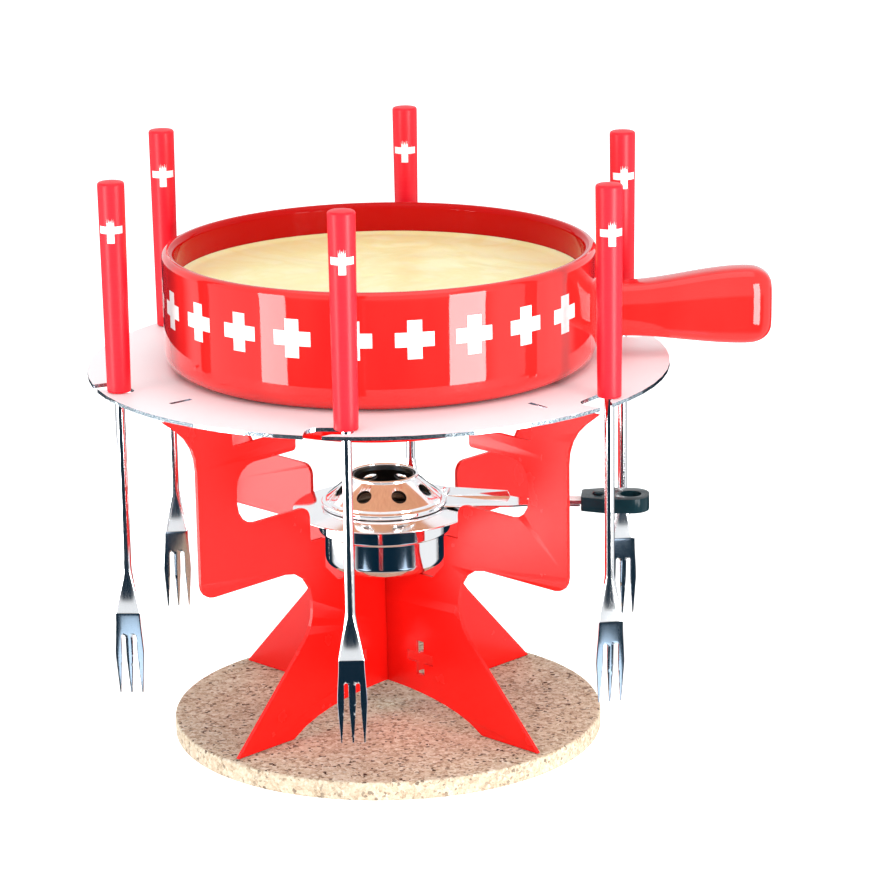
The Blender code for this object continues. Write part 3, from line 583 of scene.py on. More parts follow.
def fork_handle_look():
    """Satin red lacquer with a very fine turned grain."""
    look = Look("red_handle", (0.82, 0.009, 0.022), 0.34)
    grain = look.noise(1.0, 3.0, look.stretched(60.0, 60.0, 2400.0))
    look.feed(look.mix(grain, (0.77, 0.006, 0.016), (0.88, 0.013, 0.029)), "Base Color")
    look.feed(look.spread(grain, 0.30, 0.44), "Roughness")
    look.feed(look.bump(grain, 0.006 * MM, 0.4), "Normal")
    look.set(Specular_IOR_Level=0.30)
    return look.material


def wadding_look():
    look = Look("wadding", (0.80, 0.78, 0.72), 0.95)
    fibre = look.noise(700.0, 6.0, distortion=3.0, roughness=0.7)
    look.feed(look.ramp(fibre, [(0.3, (0.60, 0.57, 0.50)), (0.7, (0.88, 0.86, 0.81))]), "Base Color")
    look.feed(look.bump(fibre, 0.5 * MM, 0.8), "Normal")
    return look.material


def gauze_look():
    """Wire cloth that has been in the flame: brown and straw tints on steel."""
    look = Look("gauze", (0.40, 0.35, 0.28), 0.4, 1.0)
    look.feed(look.ramp(look.noise(150.0, 3.0), [
        (0.3, (0.26, 0.20, 0.15)), (0.5, (0.42, 0.37, 0.30)), (0.7, (0.50, 0.42, 0.30))]), "Base Color")
    look.feed(look.spread(look.noise(800.0), 0.3, 0.55), "Roughness")
    return look.material


# ---------------- cork base

def build_cork(look):
    edge = 1.2 * MM
    radius = CORK_HIGH.x
    low, high = CORK_LOW.z, CORK_HIGH.z
    profile = [(0.0, high)]
    profile += arc((radius - edge, high - edge), edge, 90, 0, 5)
    profile += arc((radius - edge, low + edge), edge, 0, -90, 5)
    profile += [(0.0, low)]
    mesh = lathe("cork_disc", divided(profile, 3.0 * MM), 360)
    for vert in mesh.vertices:
        if vert.co.z < low + 0.4 * MM:
            continue
        rough = noise.noise(vert.co * 520.0) * 0.10 * MM + noise.noise(vert.co * 170.0) * 0.10 * MM
        vert.co -= vert.normal * (0.16 * MM + rough)
    piece("cork_disc", mesh, look, "base", ["cork_base"])


# ---------------- pot and cheese

def pot_inside(clearance, top):
    wall = POT_R - POT_WALL - clearance
    floor = POT_FOOT_Z + POT_FLOOR + clearance
    shelf = POT_BOTTOM + POT_WALL + clearance
    well = POT_FOOT_R - POT_WALL - clearance
    corners = [
        (0.0, floor, 0),
        (well, floor, 4.0 * MM),
        (well, shelf, 3.0 * MM),
        (wall, shelf, 9.0 * MM),
        (wall, top, 0),
    ]
    return rounded(corners, steps=6)


def build_pot(look, white):
    rim = POT_WALL / 2
    profile = pot_inside(0.0, POT_TOP - rim)
    profile += arc((POT_R - rim, POT_TOP - rim), rim, 180, 0, 16)[1:]
    outside = [
        (POT_R, POT_TOP - rim, 0),
        (POT_R, POT_BOTTOM, POT_CORNER),
        (POT_FOOT_R, POT_BOTTOM, 1.5 * MM),
        (POT_FOOT_R, POT_FOOT_Z, 2.0 * MM),
        (0.0, POT_FOOT_Z, 0),
    ]
    profile += rounded(outside, steps=10)[1:]
    mesh = lathe("pot_body", divided(profile, 6.0 * MM), 240, sharp=60)
    body = add("pot_body", mesh)
    handle = add("pot_handle", pot_handle_mesh())
    joined = body.modifiers.new("joined", "BOOLEAN")
    joined.operation = "UNION"
    joined.solver = "EXACT"
    joined.object = handle
    apply_modifiers(body)
    mesh = mesh_of(body)
    bpy.data.objects.remove(handle, do_unlink=True)
    mesh.set_sharp_from_angle(angle=math.radians(70.0))
    piece("pot_body", mesh, look, "pot", ["pot"])
    build_pot_pluses(white)


def pot_handle_mesh():
    """The side handle: a flattened bar that flares into the wall and widens to its end."""
    middle = POT_BOTTOM + 25.2 * MM
    tip = POT_HIGH.x
    root = POT_R - 4.0 * MM
    sections = []
    stations = 64
    for i in range(stations + 1):
        share = i / stations
        along = root + (tip - root) * (1 - (1 - share) ** 1.35)
        into_wall = max(0.0, 1 - (along - root) / (15.0 * MM))
        flare = into_wall ** 2.2
        widen = smoothstep(POT_R + 14.0 * MM, tip - 14.0 * MM, along)
        half_h = 14.0 * MM + 5.8 * MM * widen + 9.0 * MM * flare
        half_t = 11.5 * MM + 1.0 * MM * widen + 7.0 * MM * flare
        end = max(0.0, 1 - (tip - along) / (14.0 * MM))
        shrink = math.sqrt(max(0.0, 1 - end ** 2.5))
        half_h *= 0.52 + 0.48 * shrink
        half_t *= 0.30 + 0.70 * shrink
        lift = -0.9 * MM + 1.0 * MM * widen
        ring = superellipse(half_t, half_h, 3.4, 64)
        sections.append([(along, y, middle + lift + z) for y, z in ring])
    return loft("pot_handle", sections, 60)


def plus_patch(name, radius, size_across, size_up, bar, proud, deep, cuts=3):
    """A plus shape bent round a vertical cylinder, centred at -Y and height 0."""
    far_x, far_z, near = size_across / 2, size_up / 2, bar / 2
    xs = divided([(-far_x, 0), (-near, 0), (near, 0), (far_x, 0)], bar / cuts)
    zs = divided([(-far_z, 0), (-near, 0), (near, 0), (far_z, 0)], bar / cuts)
    xs = [x for x, _ in xs]
    zs = [z for z, _ in zs]
    shape = bmesh.new()
    layers = []
    for r in (radius + proud, radius - deep):
        layer = {}
        for i, x in enumerate(xs):
            for j, z in enumerate(zs):
                if abs(x) > near + 1e-9 and abs(z) > near + 1e-9:
                    continue
                angle = x / radius
                layer[i, j] = shape.verts.new((r * math.sin(angle), -r * math.cos(angle), z))
        layers.append(layer)
    front, back = layers
    quads = []
    for i in range(len(xs) - 1):
        for j in range(len(zs) - 1):
            keys = [(i, j), (i + 1, j), (i + 1, j + 1), (i, j + 1)]
            middle_x = (xs[i] + xs[i + 1]) / 2
            middle_z = (zs[j] + zs[j + 1]) / 2
            if abs(middle_x) > near and abs(middle_z) > near:
                continue
            quads.append(keys)
    sides = {}
    for keys in quads:
        shape.faces.new([front[k] for k in keys])
        shape.faces.new([back[k] for k in reversed(keys)])
        for first, second in zip(keys, keys[1:] + keys[:1]):
            side = frozenset((first, second))
            sides[side] = None if side in sides else (first, second)
    for ends in sides.values():
        if ends:
            first, second = ends
            shape.faces.new((front[second], front[first], back[first], back[second]))
    return finished_mesh(shape, name, 50)


def build_pot_pluses(look):
    """The band of plain plus shapes round the pot, with none behind the handle's root."""
    count = 23
    first = 8.9
    handle_at = 90.0
    height = POT_TOP - 23.3 * MM
    for i in range(count):
        azimuth = (first + 360.0 * i / count) % 360.0
        if abs(azimuth - handle_at) < 20.0:
            continue
        mesh = plus_patch("pot_plus", POT_R, 19.4 * MM, 19.4 * MM, 7.3 * MM, 0.10 * MM, 0.5 * MM, 2)
        place = Matrix.Translation((0.0, 0.0, height)) @ Matrix.Rotation(math.radians(azimuth), 4, "Z")
        piece("pot_plus_%02d" % (i + 1), mesh, look, "pot", place=place)


def build_cheese(look):
    """The melted cheese: a rippled top that climbs a little at the wall, on a closed body."""
    rings = 70
    steps = 200
    turns = [2 * math.pi * j / steps for j in range(steps)]
    shape = bmesh.new()
    top = [shape.verts.new((0.0, 0.0, cheese_height(0.0, 0.0)))]
    layers = []
    for i in range(1, rings + 1):
        radius = CHEESE_R * (i / rings) ** 0.8
        spots = [(radius * math.cos(turn), radius * math.sin(turn)) for turn in turns]
        layers.append([shape.verts.new((x, y, cheese_height(x, y))) for x, y in spots])
    below = list(reversed(pot_inside(GAP, CHEESE_LEVEL - 1.0 * MM)))
    for radius, height in below[1:-1]:
        layers.append([shape.verts.new((radius * math.cos(turn), radius * math.sin(turn), height))
                       for turn in turns])
    bottom = shape.verts.new((0.0, 0.0, below[-1][1]))
    for j in range(steps):
        k = (j + 1) % steps
        shape.faces.new((top[0], layers[0][j], layers[0][k]))
        shape.faces.new((bottom, layers[-1][k], layers[-1][j]))
    for upper, lower in zip(layers, layers[1:]):
        for j in range(steps):
            k = (j + 1) % steps
            shape.faces.new((upper[j], lower[j], lower[k], upper[k]))
    mesh = finished_mesh(shape, "cheese_surface", 60)
    piece("cheese_surface", mesh, look, "pot", ["cheese_fill"])


def cheese_height(x, y):
    """Slow stirred folds, a low crown and a meniscus at the wall."""
    radius = math.hypot(x, y)
    swirl = math.atan2(y, x) + radius * 26.0
    spot = Vector((x * 16.0, y * 16.0, 0.3 * math.sin(swirl)))
    folds = noise.noise(spot) * 0.9 + noise.noise(spot * 2.3) * 0.45 + noise.noise(spot * 6.0) * 0.12
    folds *= 1 - smoothstep(CHEESE_R - 12 * MM, CHEESE_R, radius)
    crown = 0.8 * MM * (1 - (radius / CHEESE_R) ** 2)
    climb = 1.6 * MM * max(0.0, 1 - (CHEESE_R - radius) / (5.0 * MM)) ** 2
    return CHEESE_LEVEL + folds * MM + crown + climb - 0.8 * MM


# ---------------- burner

CUP_R = 31.5 * MM
COLLAR_R = 34.5 * MM
COLLAR_LOW = 19.4 * MM
CUP_H = 31.5 * MM
CUP_CORNER = 6.0 * MM
THIN = 0.8 * MM
DRIP_R = 48.0 * MM
DRIP_H = CUP_H + GAP
DRIP_HOLE_R = 24.5 * MM
DRIP_FLAT_R = 35.3 * MM
DRIP_DROP = 1.5 * MM
CONE_BASE_H = 37.0 * MM
CONE_BASE_R = 30.2 * MM
CONE_RIM_R = 31.4 * MM
CONE_RIM_TUBE = 1.3 * MM
CHIMNEY_R = 17.5 * MM
CHIMNEY_LOW = 48.2 * MM
CHIMNEY_TOP = 49.6 * MM
CHIMNEY_LIP = 0.8 * MM
VENTS = 8
VENT_TURN = math.radians(25.5)
VENT_R = 4.0 * MM
TANK_TOP = 22.5 * MM
GAUZE_PITCH = 1.9 * MM
GAUZE_WIRE = 0.22 * MM


def at_burner(turn=0.0):
    return Matrix.Translation((0.0, 0.0, BURNER_Z)) @ Matrix.Rotation(turn, 4, "Z")


def build_cup(look):
    inner = rounded([
        (0.0, THIN, 0),
        (CUP_R - THIN, THIN, CUP_CORNER - THIN),
        (CUP_R - THIN, COLLAR_LOW + 0.6 * MM, 1.0 * MM),
        (COLLAR_R - THIN, COLLAR_LOW + 2.2 * MM, 1.0 * MM),
        (COLLAR_R - THIN, CUP_H - 0.5 * MM, 0),
    ], 6)
    lip = arc((COLLAR_R - THIN / 2, CUP_H - THIN / 2), THIN / 2, 180, 0, 6)
    outer = rounded([
        (COLLAR_R, CUP_H - THIN, 0),
        (COLLAR_R, COLLAR_LOW, 1.3 * MM),
        (CUP_R, COLLAR_LOW - 0.9 * MM, 0.5 * MM),
        (CUP_R, 0.0, CUP_CORNER),
        (0.0, 0.0, 0),
    ], 10)
    mesh = lathe("burner_cup_shell", inner + lip + outer, 160)
    piece("burner_cup_shell", mesh, look, "burner", ["burner_cup"], at_burner())


def build_tank(look, pad_look, wire_look):
    outer = CUP_R - THIN - 0.5 * MM
    low = THIN + GAP
    mouth = 21.0 * MM
    inner = rounded([
        (0.0, low + THIN, 0),
        (outer - THIN, low + THIN, CUP_CORNER - 1.0 * MM - THIN),
        (outer - THIN, TANK_TOP - THIN, 0.6 * MM),
        (mouth, TANK_TOP - THIN, 0),
    ], 4)
    shell = rounded([
        (mouth, TANK_TOP, 0),
        (outer, TANK_TOP, 0.8 * MM),
        (outer, low, CUP_CORNER - 1.0 * MM),
        (0.0, low, 0),
    ], 5)
    mesh = lathe("tank_shell", inner + shell, 96)
    piece("tank_shell", mesh, look, "burner", ["fuel_tank"], at_burner())

    pad_r = outer - THIN - GAP
    pad = rounded([
        (0.0, TANK_TOP - THIN - GAP, 0),
        (pad_r, TANK_TOP - THIN - GAP, 1.5 * MM),
        (pad_r, low + THIN + GAP, 4.6 * MM),
        (0.0, low + THIN + GAP, 0),
    ], 4)
    mesh = lathe("wadding_pad", divided(pad, 2.0 * MM), 96)
    for vert in mesh.vertices:
        if vert.co.z > TANK_TOP - 2 * MM:
            vert.co.z -= (0.5 + 0.5 * noise.noise(vert.co * 400.0)) * 0.6 * MM
    piece("wadding_pad", mesh, pad_look, "burner", ["absorbent_pad"], at_burner())
    build_gauze(wire_look)


def build_gauze(look):
    """Woven wire cloth in a pressed ring, domed a little at its middle."""
    radius = 26.5 * MM
    base = TANK_TOP + GAP
    ring = arc((radius - 0.55 * MM, base + 0.55 * MM), 0.55 * MM, 0, 330, 11)
    mesh = lathe("gauze_ring", ring, 96, closed=True)
    piece("gauze_ring", mesh, look, "burner", ["wire_gauze"], at_burner())

    shape = bmesh.new()
    reach = radius - 0.9 * MM
    lines = int(reach / GAUZE_PITCH)
    for crosswise in (False, True):
        for line in range(-lines, lines + 1):
            add_wire(shape, crosswise, line, reach, radius, base + 0.45 * MM)
    mesh = finished_mesh(shape, "gauze_cloth", 60)
    piece("gauze_cloth", mesh, look, "burner", place=at_burner())


def add_wire(shape, crosswise, line, reach, radius, base):
    """One woven wire of the gauze, square in section, that goes over and under the others."""
    offset = line * GAUZE_PITCH
    half = math.sqrt(reach ** 2 - offset ** 2)
    count = max(4, int(2 * half / (GAUZE_PITCH / 2)))
    over = (1 if (line + crosswise) % 2 else -1) * (1 if crosswise else -1)
    rings = []
    for i in range(count + 1):
        along = -half + 2 * half * i / count
        dome = 0.7 * MM * (1 - (along ** 2 + offset ** 2) / radius ** 2)
        weave = math.cos(math.pi * along / GAUZE_PITCH) * over * GAUZE_WIRE * 0.9
        height = base + dome + weave
        ring = []
        for corner in range(4):
            angle = math.pi / 4 + corner * math.pi / 2
            side = offset + GAUZE_WIRE * math.cos(angle)
            spot = (along, side) if crosswise else (side, along)
            ring.append(shape.verts.new((*spot, height + GAUZE_WIRE * math.sin(angle))))
        rings.append(ring)
    for first, second in zip(rings, rings[1:]):
        for corner in range(4):
            following = (corner + 1) % 4
            shape.faces.new((first[corner], first[following], second[following], second[corner]))
    shape.faces.new(rings[0])
    shape.faces.new(rings[-1])


def build_drip_plate(look):
    low, high = DRIP_H, DRIP_H + THIN
    edge = THIN / 2
    profile = divided([(DRIP_HOLE_R, high), (DRIP_FLAT_R - 1.0 * MM, high)], 4.0 * MM)
    profile += rounded([
        (DRIP_FLAT_R - 0.8 * MM, high, 0),
        (DRIP_FLAT_R, high, 4.0 * MM),
        (DRIP_R - edge, high - DRIP_DROP, 0),
    ], 6)
    profile += arc((DRIP_R - edge, low - DRIP_DROP + edge), edge, 80, -90, 8)
    profile += [(DRIP_FLAT_R, low), (DRIP_HOLE_R, low)]
    mesh = lathe("drip_dish", profile, 200, closed=True)
    piece("drip_dish", mesh, look, "burner", ["drip_plate"], at_burner())


def vent_cutters(first_angle):
    slope = math.atan2(CHIMNEY_LOW - CONE_BASE_H, CONE_BASE_R - CHIMNEY_R)
    mid_r = (CONE_BASE_R + CHIMNEY_R) / 2
    mid_h = (CONE_BASE_H + CHIMNEY_LOW) / 2
    shape = bmesh.new()
    for vent in range(VENTS):
        turn = first_angle + 2 * math.pi * vent / VENTS
        place = Matrix.Rotation(turn, 4, "Z") @ Matrix.Translation((mid_r, 0.0, mid_h))
        place = place @ Matrix.Rotation(math.pi / 2 - slope, 4, "Y")
        bmesh.ops.create_cone(shape, cap_ends=True, segments=40, radius1=VENT_R, radius2=VENT_R,
                              depth=8.0 * MM, matrix=place)
    return raw_mesh(shape, "vents")


def build_cone(look):
    rim_h = DRIP_H + THIN + GAP + CONE_RIM_TUBE
    wall = THIN
    profile = arc((CHIMNEY_R, CHIMNEY_TOP - CHIMNEY_LIP), CHIMNEY_LIP, 180, -75, 14)
    profile += rounded([
        (CHIMNEY_R + 0.3 * MM, CHIMNEY_LOW - 0.55 * MM, 0),
        (CONE_BASE_R, CONE_BASE_H, 1.2 * MM),
        (CONE_BASE_R + 0.4 * MM, CONE_BASE_H - 1.2 * MM, 0),
    ], 6)
    soft = 0.6 * MM
    band = CONE_RIM_R + CONE_RIM_TUBE - soft
    profile += arc((band, rim_h + CONE_RIM_TUBE - soft), soft, 100, 0, 6)
    profile += arc((band, rim_h - CONE_RIM_TUBE + soft), soft, 0, -90, 6)
    profile += [(CONE_BASE_R, rim_h - CONE_RIM_TUBE), (CONE_BASE_R - 0.3 * MM, rim_h - 0.9 * MM)]
    profile += rounded([
        (CONE_BASE_R - wall * 0.6, CONE_BASE_H - wall, 0.6 * MM),
        (CHIMNEY_R - wall, CHIMNEY_LOW - wall * 0.5, 0),
    ], 6)
    mesh = lathe("cone_shell", profile, 160, closed=True)
    cone = add("cone_shell", mesh)
    cut(cone, vent_cutters(VENT_TURN))
    soften_edges(cone, 0.12 * MM, 2, 50.0)
    apply_modifiers(cone)
    piece("cone_shell", mesh_of(cone), look, "regulator", ["regulator_cone"],
          at_burner(HANDLE_TURN))


def build_sleeve(look):
    off = THIN + 0.6 * MM
    wall = 0.6 * MM
    foot = DRIP_H + THIN + GAP
    top_r, base_r = CHIMNEY_R - off, CONE_BASE_R - off
    drop = 1.15 * MM
    profile = [
        (top_r - wall, CHIMNEY_TOP - 1.0 * MM),
        (top_r, CHIMNEY_TOP - 1.0 * MM),
        (top_r, CHIMNEY_LOW - drop),
        (base_r, CONE_BASE_H - drop),
        (base_r, foot),
        (base_r - wall, foot),
        (base_r - wall, CONE_BASE_H - drop - wall),
        (top_r - wall, CHIMNEY_LOW - drop - wall),
    ]
    sleeve = add("sleeve_shell", lathe("sleeve_shell", profile, 120, closed=True))
    cut(sleeve, vent_cutters(HANDLE_TURN + VENT_TURN))
    piece("sleeve_shell", mesh_of(sleeve), look, "burner", ["air_sleeve"], at_burner())


def build_grip(look):
    """The black grip: a softly edged paddle with a hanging loop and a tang pocket."""
    half = 11.0 * MM
    start, end = 103.3 * MM, 138.5 * MM
    height = 35.6 * MM
    corners = [
        (start, -half + 3.5 * MM, 2.0 * MM),
        (start + 12.0 * MM, -half, 14.0 * MM),
        (end, -half, 9.0 * MM),
        (end, half, 9.0 * MM),
        (start + 12.0 * MM, half, 14.0 * MM),
        (start, half - 3.5 * MM, 2.0 * MM),
    ]
    loop = arc((end - 9.6 * MM, 0.0), 5.6 * MM, 360 - 7.5, 0, 47)
    grip = add("grip_body", slab("grip_body", [rounded(corners, 12, True), loop], 7.5 * MM))
    soften_edges(grip, 2.1 * MM, 5, 50.0)
    apply_modifiers(grip)
    shape = bmesh.new()
    bmesh.ops.create_cube(shape, size=1.0)
    bmesh.ops.scale(shape, vec=(36.0 * MM, 9.0 * MM, 2.8 * MM), verts=shape.verts)
    bmesh.ops.translate(shape, vec=(101.5 * MM, 0.0, 0.0), verts=shape.verts)
    cut(grip, raw_mesh(shape, "pocket"))
    shape = bmesh.new()
    bmesh.ops.create_cone(shape, cap_ends=True, segments=48, radius1=2.3 * MM, radius2=2.3 * MM,
                          depth=20.0 * MM, matrix=Matrix.Translation((112.0 * MM, 0.0, 0.0)))
    cut(grip, raw_mesh(shape, "hole"))
    place = at_burner(HANDLE_TURN) @ Matrix.Translation((0.0, 0.0, height))
    piece("grip_body", mesh_of(grip), look, "regulator", ["regulator_grip"], place)


# ---------------- forks

def fork_handle_mesh():
    """A slightly tapered handle with a low domed top."""
    dome = 1.4 * MM
    top = FORK_HANDLE_H
    profile = [(0.0, top)]
    profile += [(FORK_HANDLE_R * 0.35, top - 0.10 * MM), (FORK_HANDLE_R * 0.6, top - 0.38 * MM)]
    profile += arc((FORK_HANDLE_R - dome, top - dome - 0.55 * MM), dome, 74, 0, 8)
    profile += arc((FORK_HANDLE_FOOT_R - 0.7 * MM, 0.7 * MM), 0.7 * MM, 0, -90, 5)
    bore = 2.8 * MM
    profile += [(bore, 0.0), (bore, 30.0 * MM), (0.0, 30.0 * MM)]
    return lathe("fork_handle", divided(profile, 8.0 * MM), 72)


# Heights along a fork, from its handle's foot.
FORK_WIDEN = -92.0 * MM
FORK_CREASE = -116.0 * MM
FORK_SLOT = -127.8 * MM
FORK_WIDEST = -139.0 * MM
FORK_TIP = -159.8 * MM
STEM_R = 2.5 * MM


def shoulder(height):
    """How far down the widening part a height is, from 0 to 1."""
    return min(1.0, max(0.0, (FORK_WIDEN - height) / (FORK_WIDEN - FORK_CREASE)))


def fork_bow(height):
    """How far the head stands forward of the stem's axis, greatest at its crease."""
    forward = 2.9 * MM * shoulder(height) ** 1.4
    if height < FORK_CREASE:
        forward -= 3.4 * MM * (FORK_CREASE - height) / (FORK_CREASE - FORK_TIP)
    return forward


def fork_section(height):
    """The blade's outline at one height: a round stem below, a flat head above its tines."""
    down = shoulder(height) ** 1.2
    half_w = STEM_R + 3.9 * MM * down
    if height < FORK_CREASE:
        spread = (FORK_CREASE - height) / (FORK_CREASE - FORK_WIDEST)
        half_w = 6.4 * MM + 1.0 * MM * smoothstep(0, 1, spread)
    if height < FORK_WIDEST:
        half_w = 7.4 * MM - 1.35 * MM * (FORK_WIDEST - height) / (FORK_WIDEST - FORK_TIP)
    flat = 1 - smoothstep(FORK_CREASE + 3 * MM, FORK_WIDEN + 2 * MM, height)
    half_t = STEM_R - 1.65 * MM * flat
    if height < FORK_SLOT:
        half_t -= 0.45 * MM * (FORK_SLOT - height) / (FORK_SLOT - FORK_TIP)
    forward = sum(fork_bow(height + i * 0.4 * MM) for i in (-1, 0, 1)) / 3
    ring = superellipse(half_w, half_t, 2.0 + 2.6 * down, 40)
    return [(x, y - forward, height) for x, y in ring]


def fork_blade_mesh():
    """A round stem that flattens and widens into a head with three pointed tines."""
    heights = [28.0 * MM, 10.0 * MM, -20.0 * MM, -50.0 * MM, -78.0 * MM]
    heights += [FORK_WIDEN + 6 * MM - i * 1.5 * MM for i in range(50)]
    heights += [FORK_CREASE + 0.3 * MM, FORK_CREASE, FORK_CREASE - 0.3 * MM]
    heights = sorted((h for h in heights if h > FORK_TIP + 0.2 * MM), reverse=True) + [FORK_TIP]
    sections = [fork_section(height) for height in heights]
    blade = add("fork_blade", loft("fork_blade", sections, 60))
    step, gap, end = 5.75 * MM, 2.1 * MM, FORK_TIP - 3 * MM
    point = step / 2 - 0.35 * MM
    for side in (-1, 1):
        centre = side * step / 2
        outline = arc((centre, FORK_SLOT - gap / 2), gap / 2, 0, 180, 12)
        outline += [(centre - gap / 2 - 0.1 * MM, FORK_WIDEST), (centre - point, FORK_TIP),
                    (centre - point, end), (centre + point, end),
                    (centre + point, FORK_TIP), (centre + gap / 2 + 0.1 * MM, FORK_WIDEST)]
        cutter = slab("slot", [outline], 14.0 * MM)
        cutter.transform(Matrix.Rotation(math.radians(90), 4, "X"))
        cut(blade, cutter)
    soften_edges(blade, 0.14 * MM, 2, 50.0)
    apply_modifiers(blade)
    return mesh_of(blade)


def build_forks(handle_look, steel, white):
    handle = fork_handle_mesh()
    blade = fork_blade_mesh()
    plus = plus_patch("fork_plus", FORK_HANDLE_R - 0.17 * MM, 12.8 * MM, 13.2 * MM, 3.7 * MM,
                      0.05 * MM, 0.4 * MM, 4)
    plus_height = FORK_HANDLE_H - 23.7 * MM
    for number in range(1, FORKS + 1):
        low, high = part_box("fork_%d_handle" % number)
        seat = Vector(((low.x + high.x) / 2, (low.y + high.y) / 2, low.z))
        yaw = math.radians(FORK_YAWS[number - 1])
        place = Matrix.Translation(seat) @ Matrix.Rotation(yaw, 4, "Z")
        body = "fork_%d" % number
        piece(body + "_grip", handle.copy(), handle_look, body,
              [body + "_handle"], place)
        piece(body + "_head", blade.copy(), steel, body, [body + "_blade"], place)
        piece(body + "_plus", plus.copy(), white, body,
              place=place @ Matrix.Translation((0.0, 0.0, plus_height)))


# ---------------- stage, lights, camera

STUDIO_WHITE = (0.96, 0.98, 1.0)
STUDIO_DIM = (0.003, 0.018, 0.036)
DIM_INNER = math.radians(52.0)      # half width of each dim part of the surroundings
DIM_OUTER = math.radians(66.0)
CARD_IN = 0.100                     # the cards' extent sideways and toward the camera
CARD_OUT = 0.175
CARD_NEAR = 0.135
CARD_FAR = 0.226


def build_stage():
    shape = bmesh.new()
    bmesh.ops.create_grid(shape, x_segments=2, y_segments=2, size=6.0)
    mesh = raw_mesh(shape, "floor")
    look = Look("floor", (0.93, 0.93, 0.93), 0.9)
    look.set(Specular_IOR_Level=0.1, Emission_Strength=0.55)
    look.shader.inputs["Emission Color"].default_value = (1.0, 1.0, 1.0, 1.0)
    floor = add("floor", mesh, look.material)
    floor.location.z = CORK_LOW.z - 0.1 * MM
    floor.visible_glossy = False


def softbox(name, azimuth, elevation, distance, width, height, power, aim=0.17):
    """A rectangular light aimed at the object; azimuth 0 is the front, positive to the right."""
    a, e = math.radians(azimuth), math.radians(elevation)
    away = Vector((math.sin(a) * math.cos(e), -math.cos(a) * math.cos(e), math.sin(e)))
    target = Vector((0.0, 0.0, aim))
    data = bpy.data.lights.new(name, "AREA")
    data.shape = "RECTANGLE"
    data.size = width
    data.size_y = height
    data.energy = power
    light = bpy.data.objects.new(name, data)
    bpy.context.scene.collection.objects.link(light)
    light.location = target + away * distance
    light.rotation_mode = "QUATERNION"
    light.rotation_quaternion = (-away).to_track_quat("-Z", "Y")
    light.visible_camera = False
    return light


def build_world():
    """White surroundings with a dim part low in front and behind."""
    world = bpy.data.worlds.new("studio")
    world.use_nodes = True
    sky = Nodes(world.node_tree)
    background = sky.tree.nodes["Background"]
    x, y, z = sky.parts(sky.node("ShaderNodeTexCoord").outputs["Generated"])
    level = sky.maths("SQRT", sky.maths("ADD", sky.maths("MULTIPLY", x, x), sky.maths("MULTIPLY", y, y)))
    ahead = sky.maths("ABSOLUTE", sky.maths("DIVIDE", y, level))
    near = sky.step(ahead, math.cos(DIM_OUTER), math.cos(DIM_INNER))
    down = sky.step(sky.maths("MULTIPLY", z, -1.0), 0.09, 0.16)
    low = sky.maths("MULTIPLY", down, sky.step(z, -0.80, -0.60))
    sky.link(sky.mix(sky.maths("MULTIPLY", near, low), STUDIO_WHITE, STUDIO_DIM),
             background.inputs["Color"])
    background.inputs["Strength"].default_value = 0.95
    bpy.context.scene.world = world


def build_cards():
    """Blue-grey cards in front of the two outer front forks, which only reflections show."""
    look = Look("card", (0.3, 0.4, 0.5), 0.9)
    ahead = look.parts(look.place)["Y"]
    near = look.node("ShaderNodeMapRange", {"Value": ahead, "From Min": -CARD_FAR,
                                            "From Max": -CARD_NEAR}).outputs["Result"]
    look.feed(look.ramp(near, [(0.0, (0.06, 0.13, 0.20)), (0.35, (0.20, 0.31, 0.42)),
                               (1.0, (0.34, 0.46, 0.60))]), "Emission Color")
    look.set(Emission_Strength=1.0)
    for side in (-1, 1):
        shape = bmesh.new()
        xs = sorted((side * CARD_IN, side * CARD_OUT))
        corners = [(xs[0], -CARD_FAR), (xs[1], -CARD_FAR), (xs[1], -CARD_NEAR), (xs[0], -CARD_NEAR)]
        shape.faces.new([shape.verts.new((x, y, 0.0)) for x, y in corners])
        name = "card_left" if side < 0 else "card_right"
        card = add(name, finished_mesh(shape, name), look.material)
        card.location.z = CORK_LOW.z
        card.visible_camera = False
        card.visible_diffuse = False
        card.visible_shadow = False


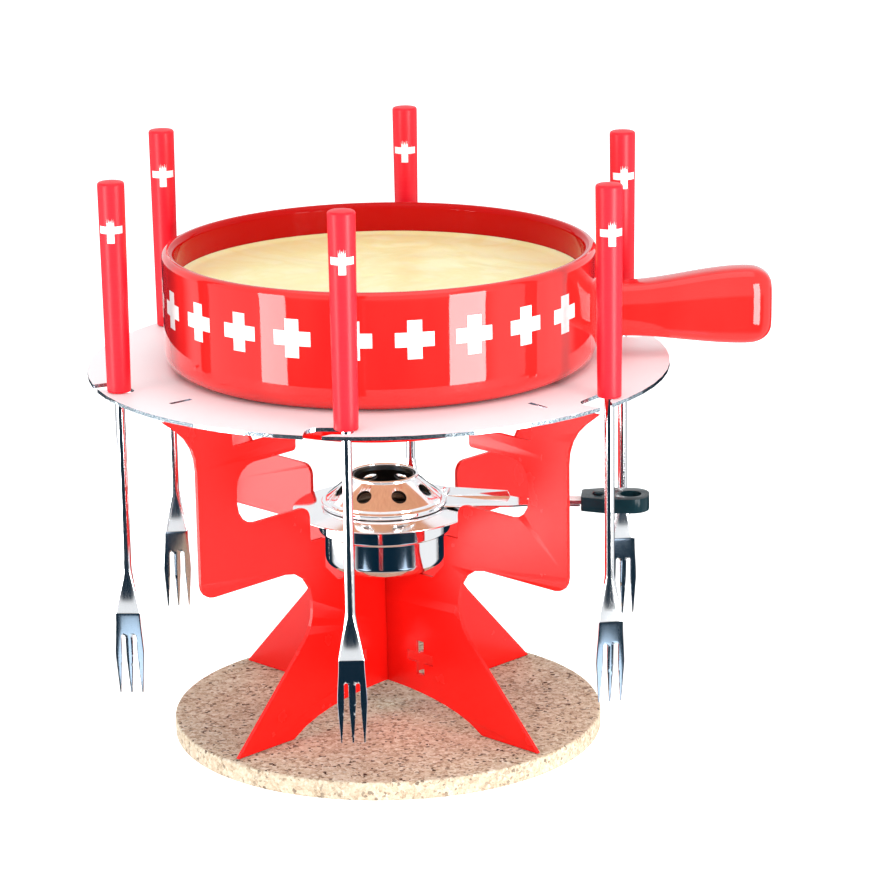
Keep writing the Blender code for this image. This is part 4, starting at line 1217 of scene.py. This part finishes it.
def build_lights():
    softbox("softbox_left", -53, 0, 0.72, 0.18, 0.46, 2.6, 0.19)
    softbox("softbox_right", 43, 0, 0.72, 0.24, 0.46, 4.6, 0.19)
    softbox("softbox_top", 10, 80, 1.8, 1.6, 1.6, 8.5)
    sheen = softbox("softbox_low", -93, 0, 0.30, 0.27, 0.11, 0.55, 0.056)
    sheen.visible_diffuse = False


CAMERA_SPOT = (28.63 * MM, -1702.4 * MM, 630.0 * MM)
CAMERA_TURN = math.radians(-0.564)
CAMERA_DOWN = math.radians(15.724)
CAMERA_ROLL = math.radians(0.896)


def build_camera():
    """The camera looks down about 16 degrees, with a long lens and a slight roll."""
    data = bpy.data.cameras.new("camera")
    data.sensor_fit = "HORIZONTAL"
    data.sensor_width = 36.0
    data.lens = 139.5
    data.shift_y = 0.011
    data.clip_start = 0.05
    data.clip_end = 50.0
    camera = bpy.data.objects.new("camera", data)
    bpy.context.scene.collection.objects.link(camera)
    camera.matrix_world = (Matrix.Rotation(CAMERA_TURN, 4, "Z") @ Matrix.Translation(CAMERA_SPOT)
                           @ Matrix.Rotation(math.pi / 2 - CAMERA_DOWN, 4, "X")
                           @ Matrix.Rotation(-CAMERA_ROLL, 4, "Z"))
    bpy.context.scene.camera = camera


def main():
    bpy.context.scene.view_settings.view_transform = "Standard"
    paint = paint_look()
    steel = satin_steel_look()
    polished = polished_steel_look()
    tank = tank_steel_look()
    white = white_glaze_look("white_glaze", 0.07)
    white_ink = white_glaze_look("white_ink", 0.32)
    build_cork(cork_look())
    refine_cad("stand_plate_a", paint, 0.25 * MM)
    refine_cad("stand_plate_b", paint, 0.25 * MM)
    refine_cad("top_plate", steel, 0.25 * MM)
    build_pot(glaze_look(), white)
    build_cheese(cheese_look())
    build_cup(polished)
    build_tank(tank, wadding_look(), gauze_look())
    build_drip_plate(polished)
    build_sleeve(tank)
    build_cone(polished)
    refine_cad("regulator_strap", polished, 0.2 * MM)
    refine_cad("regulator_tang", steel, 0.2 * MM)
    black = plastic_look()
    refine_cad("grip_rivet", black, 0.1 * MM)
    build_grip(black)
    build_forks(fork_handle_look(), fork_steel_look(), white_ink)
    build_stage()
    build_cards()
    build_world()
    build_lights()
    build_camera()


main()
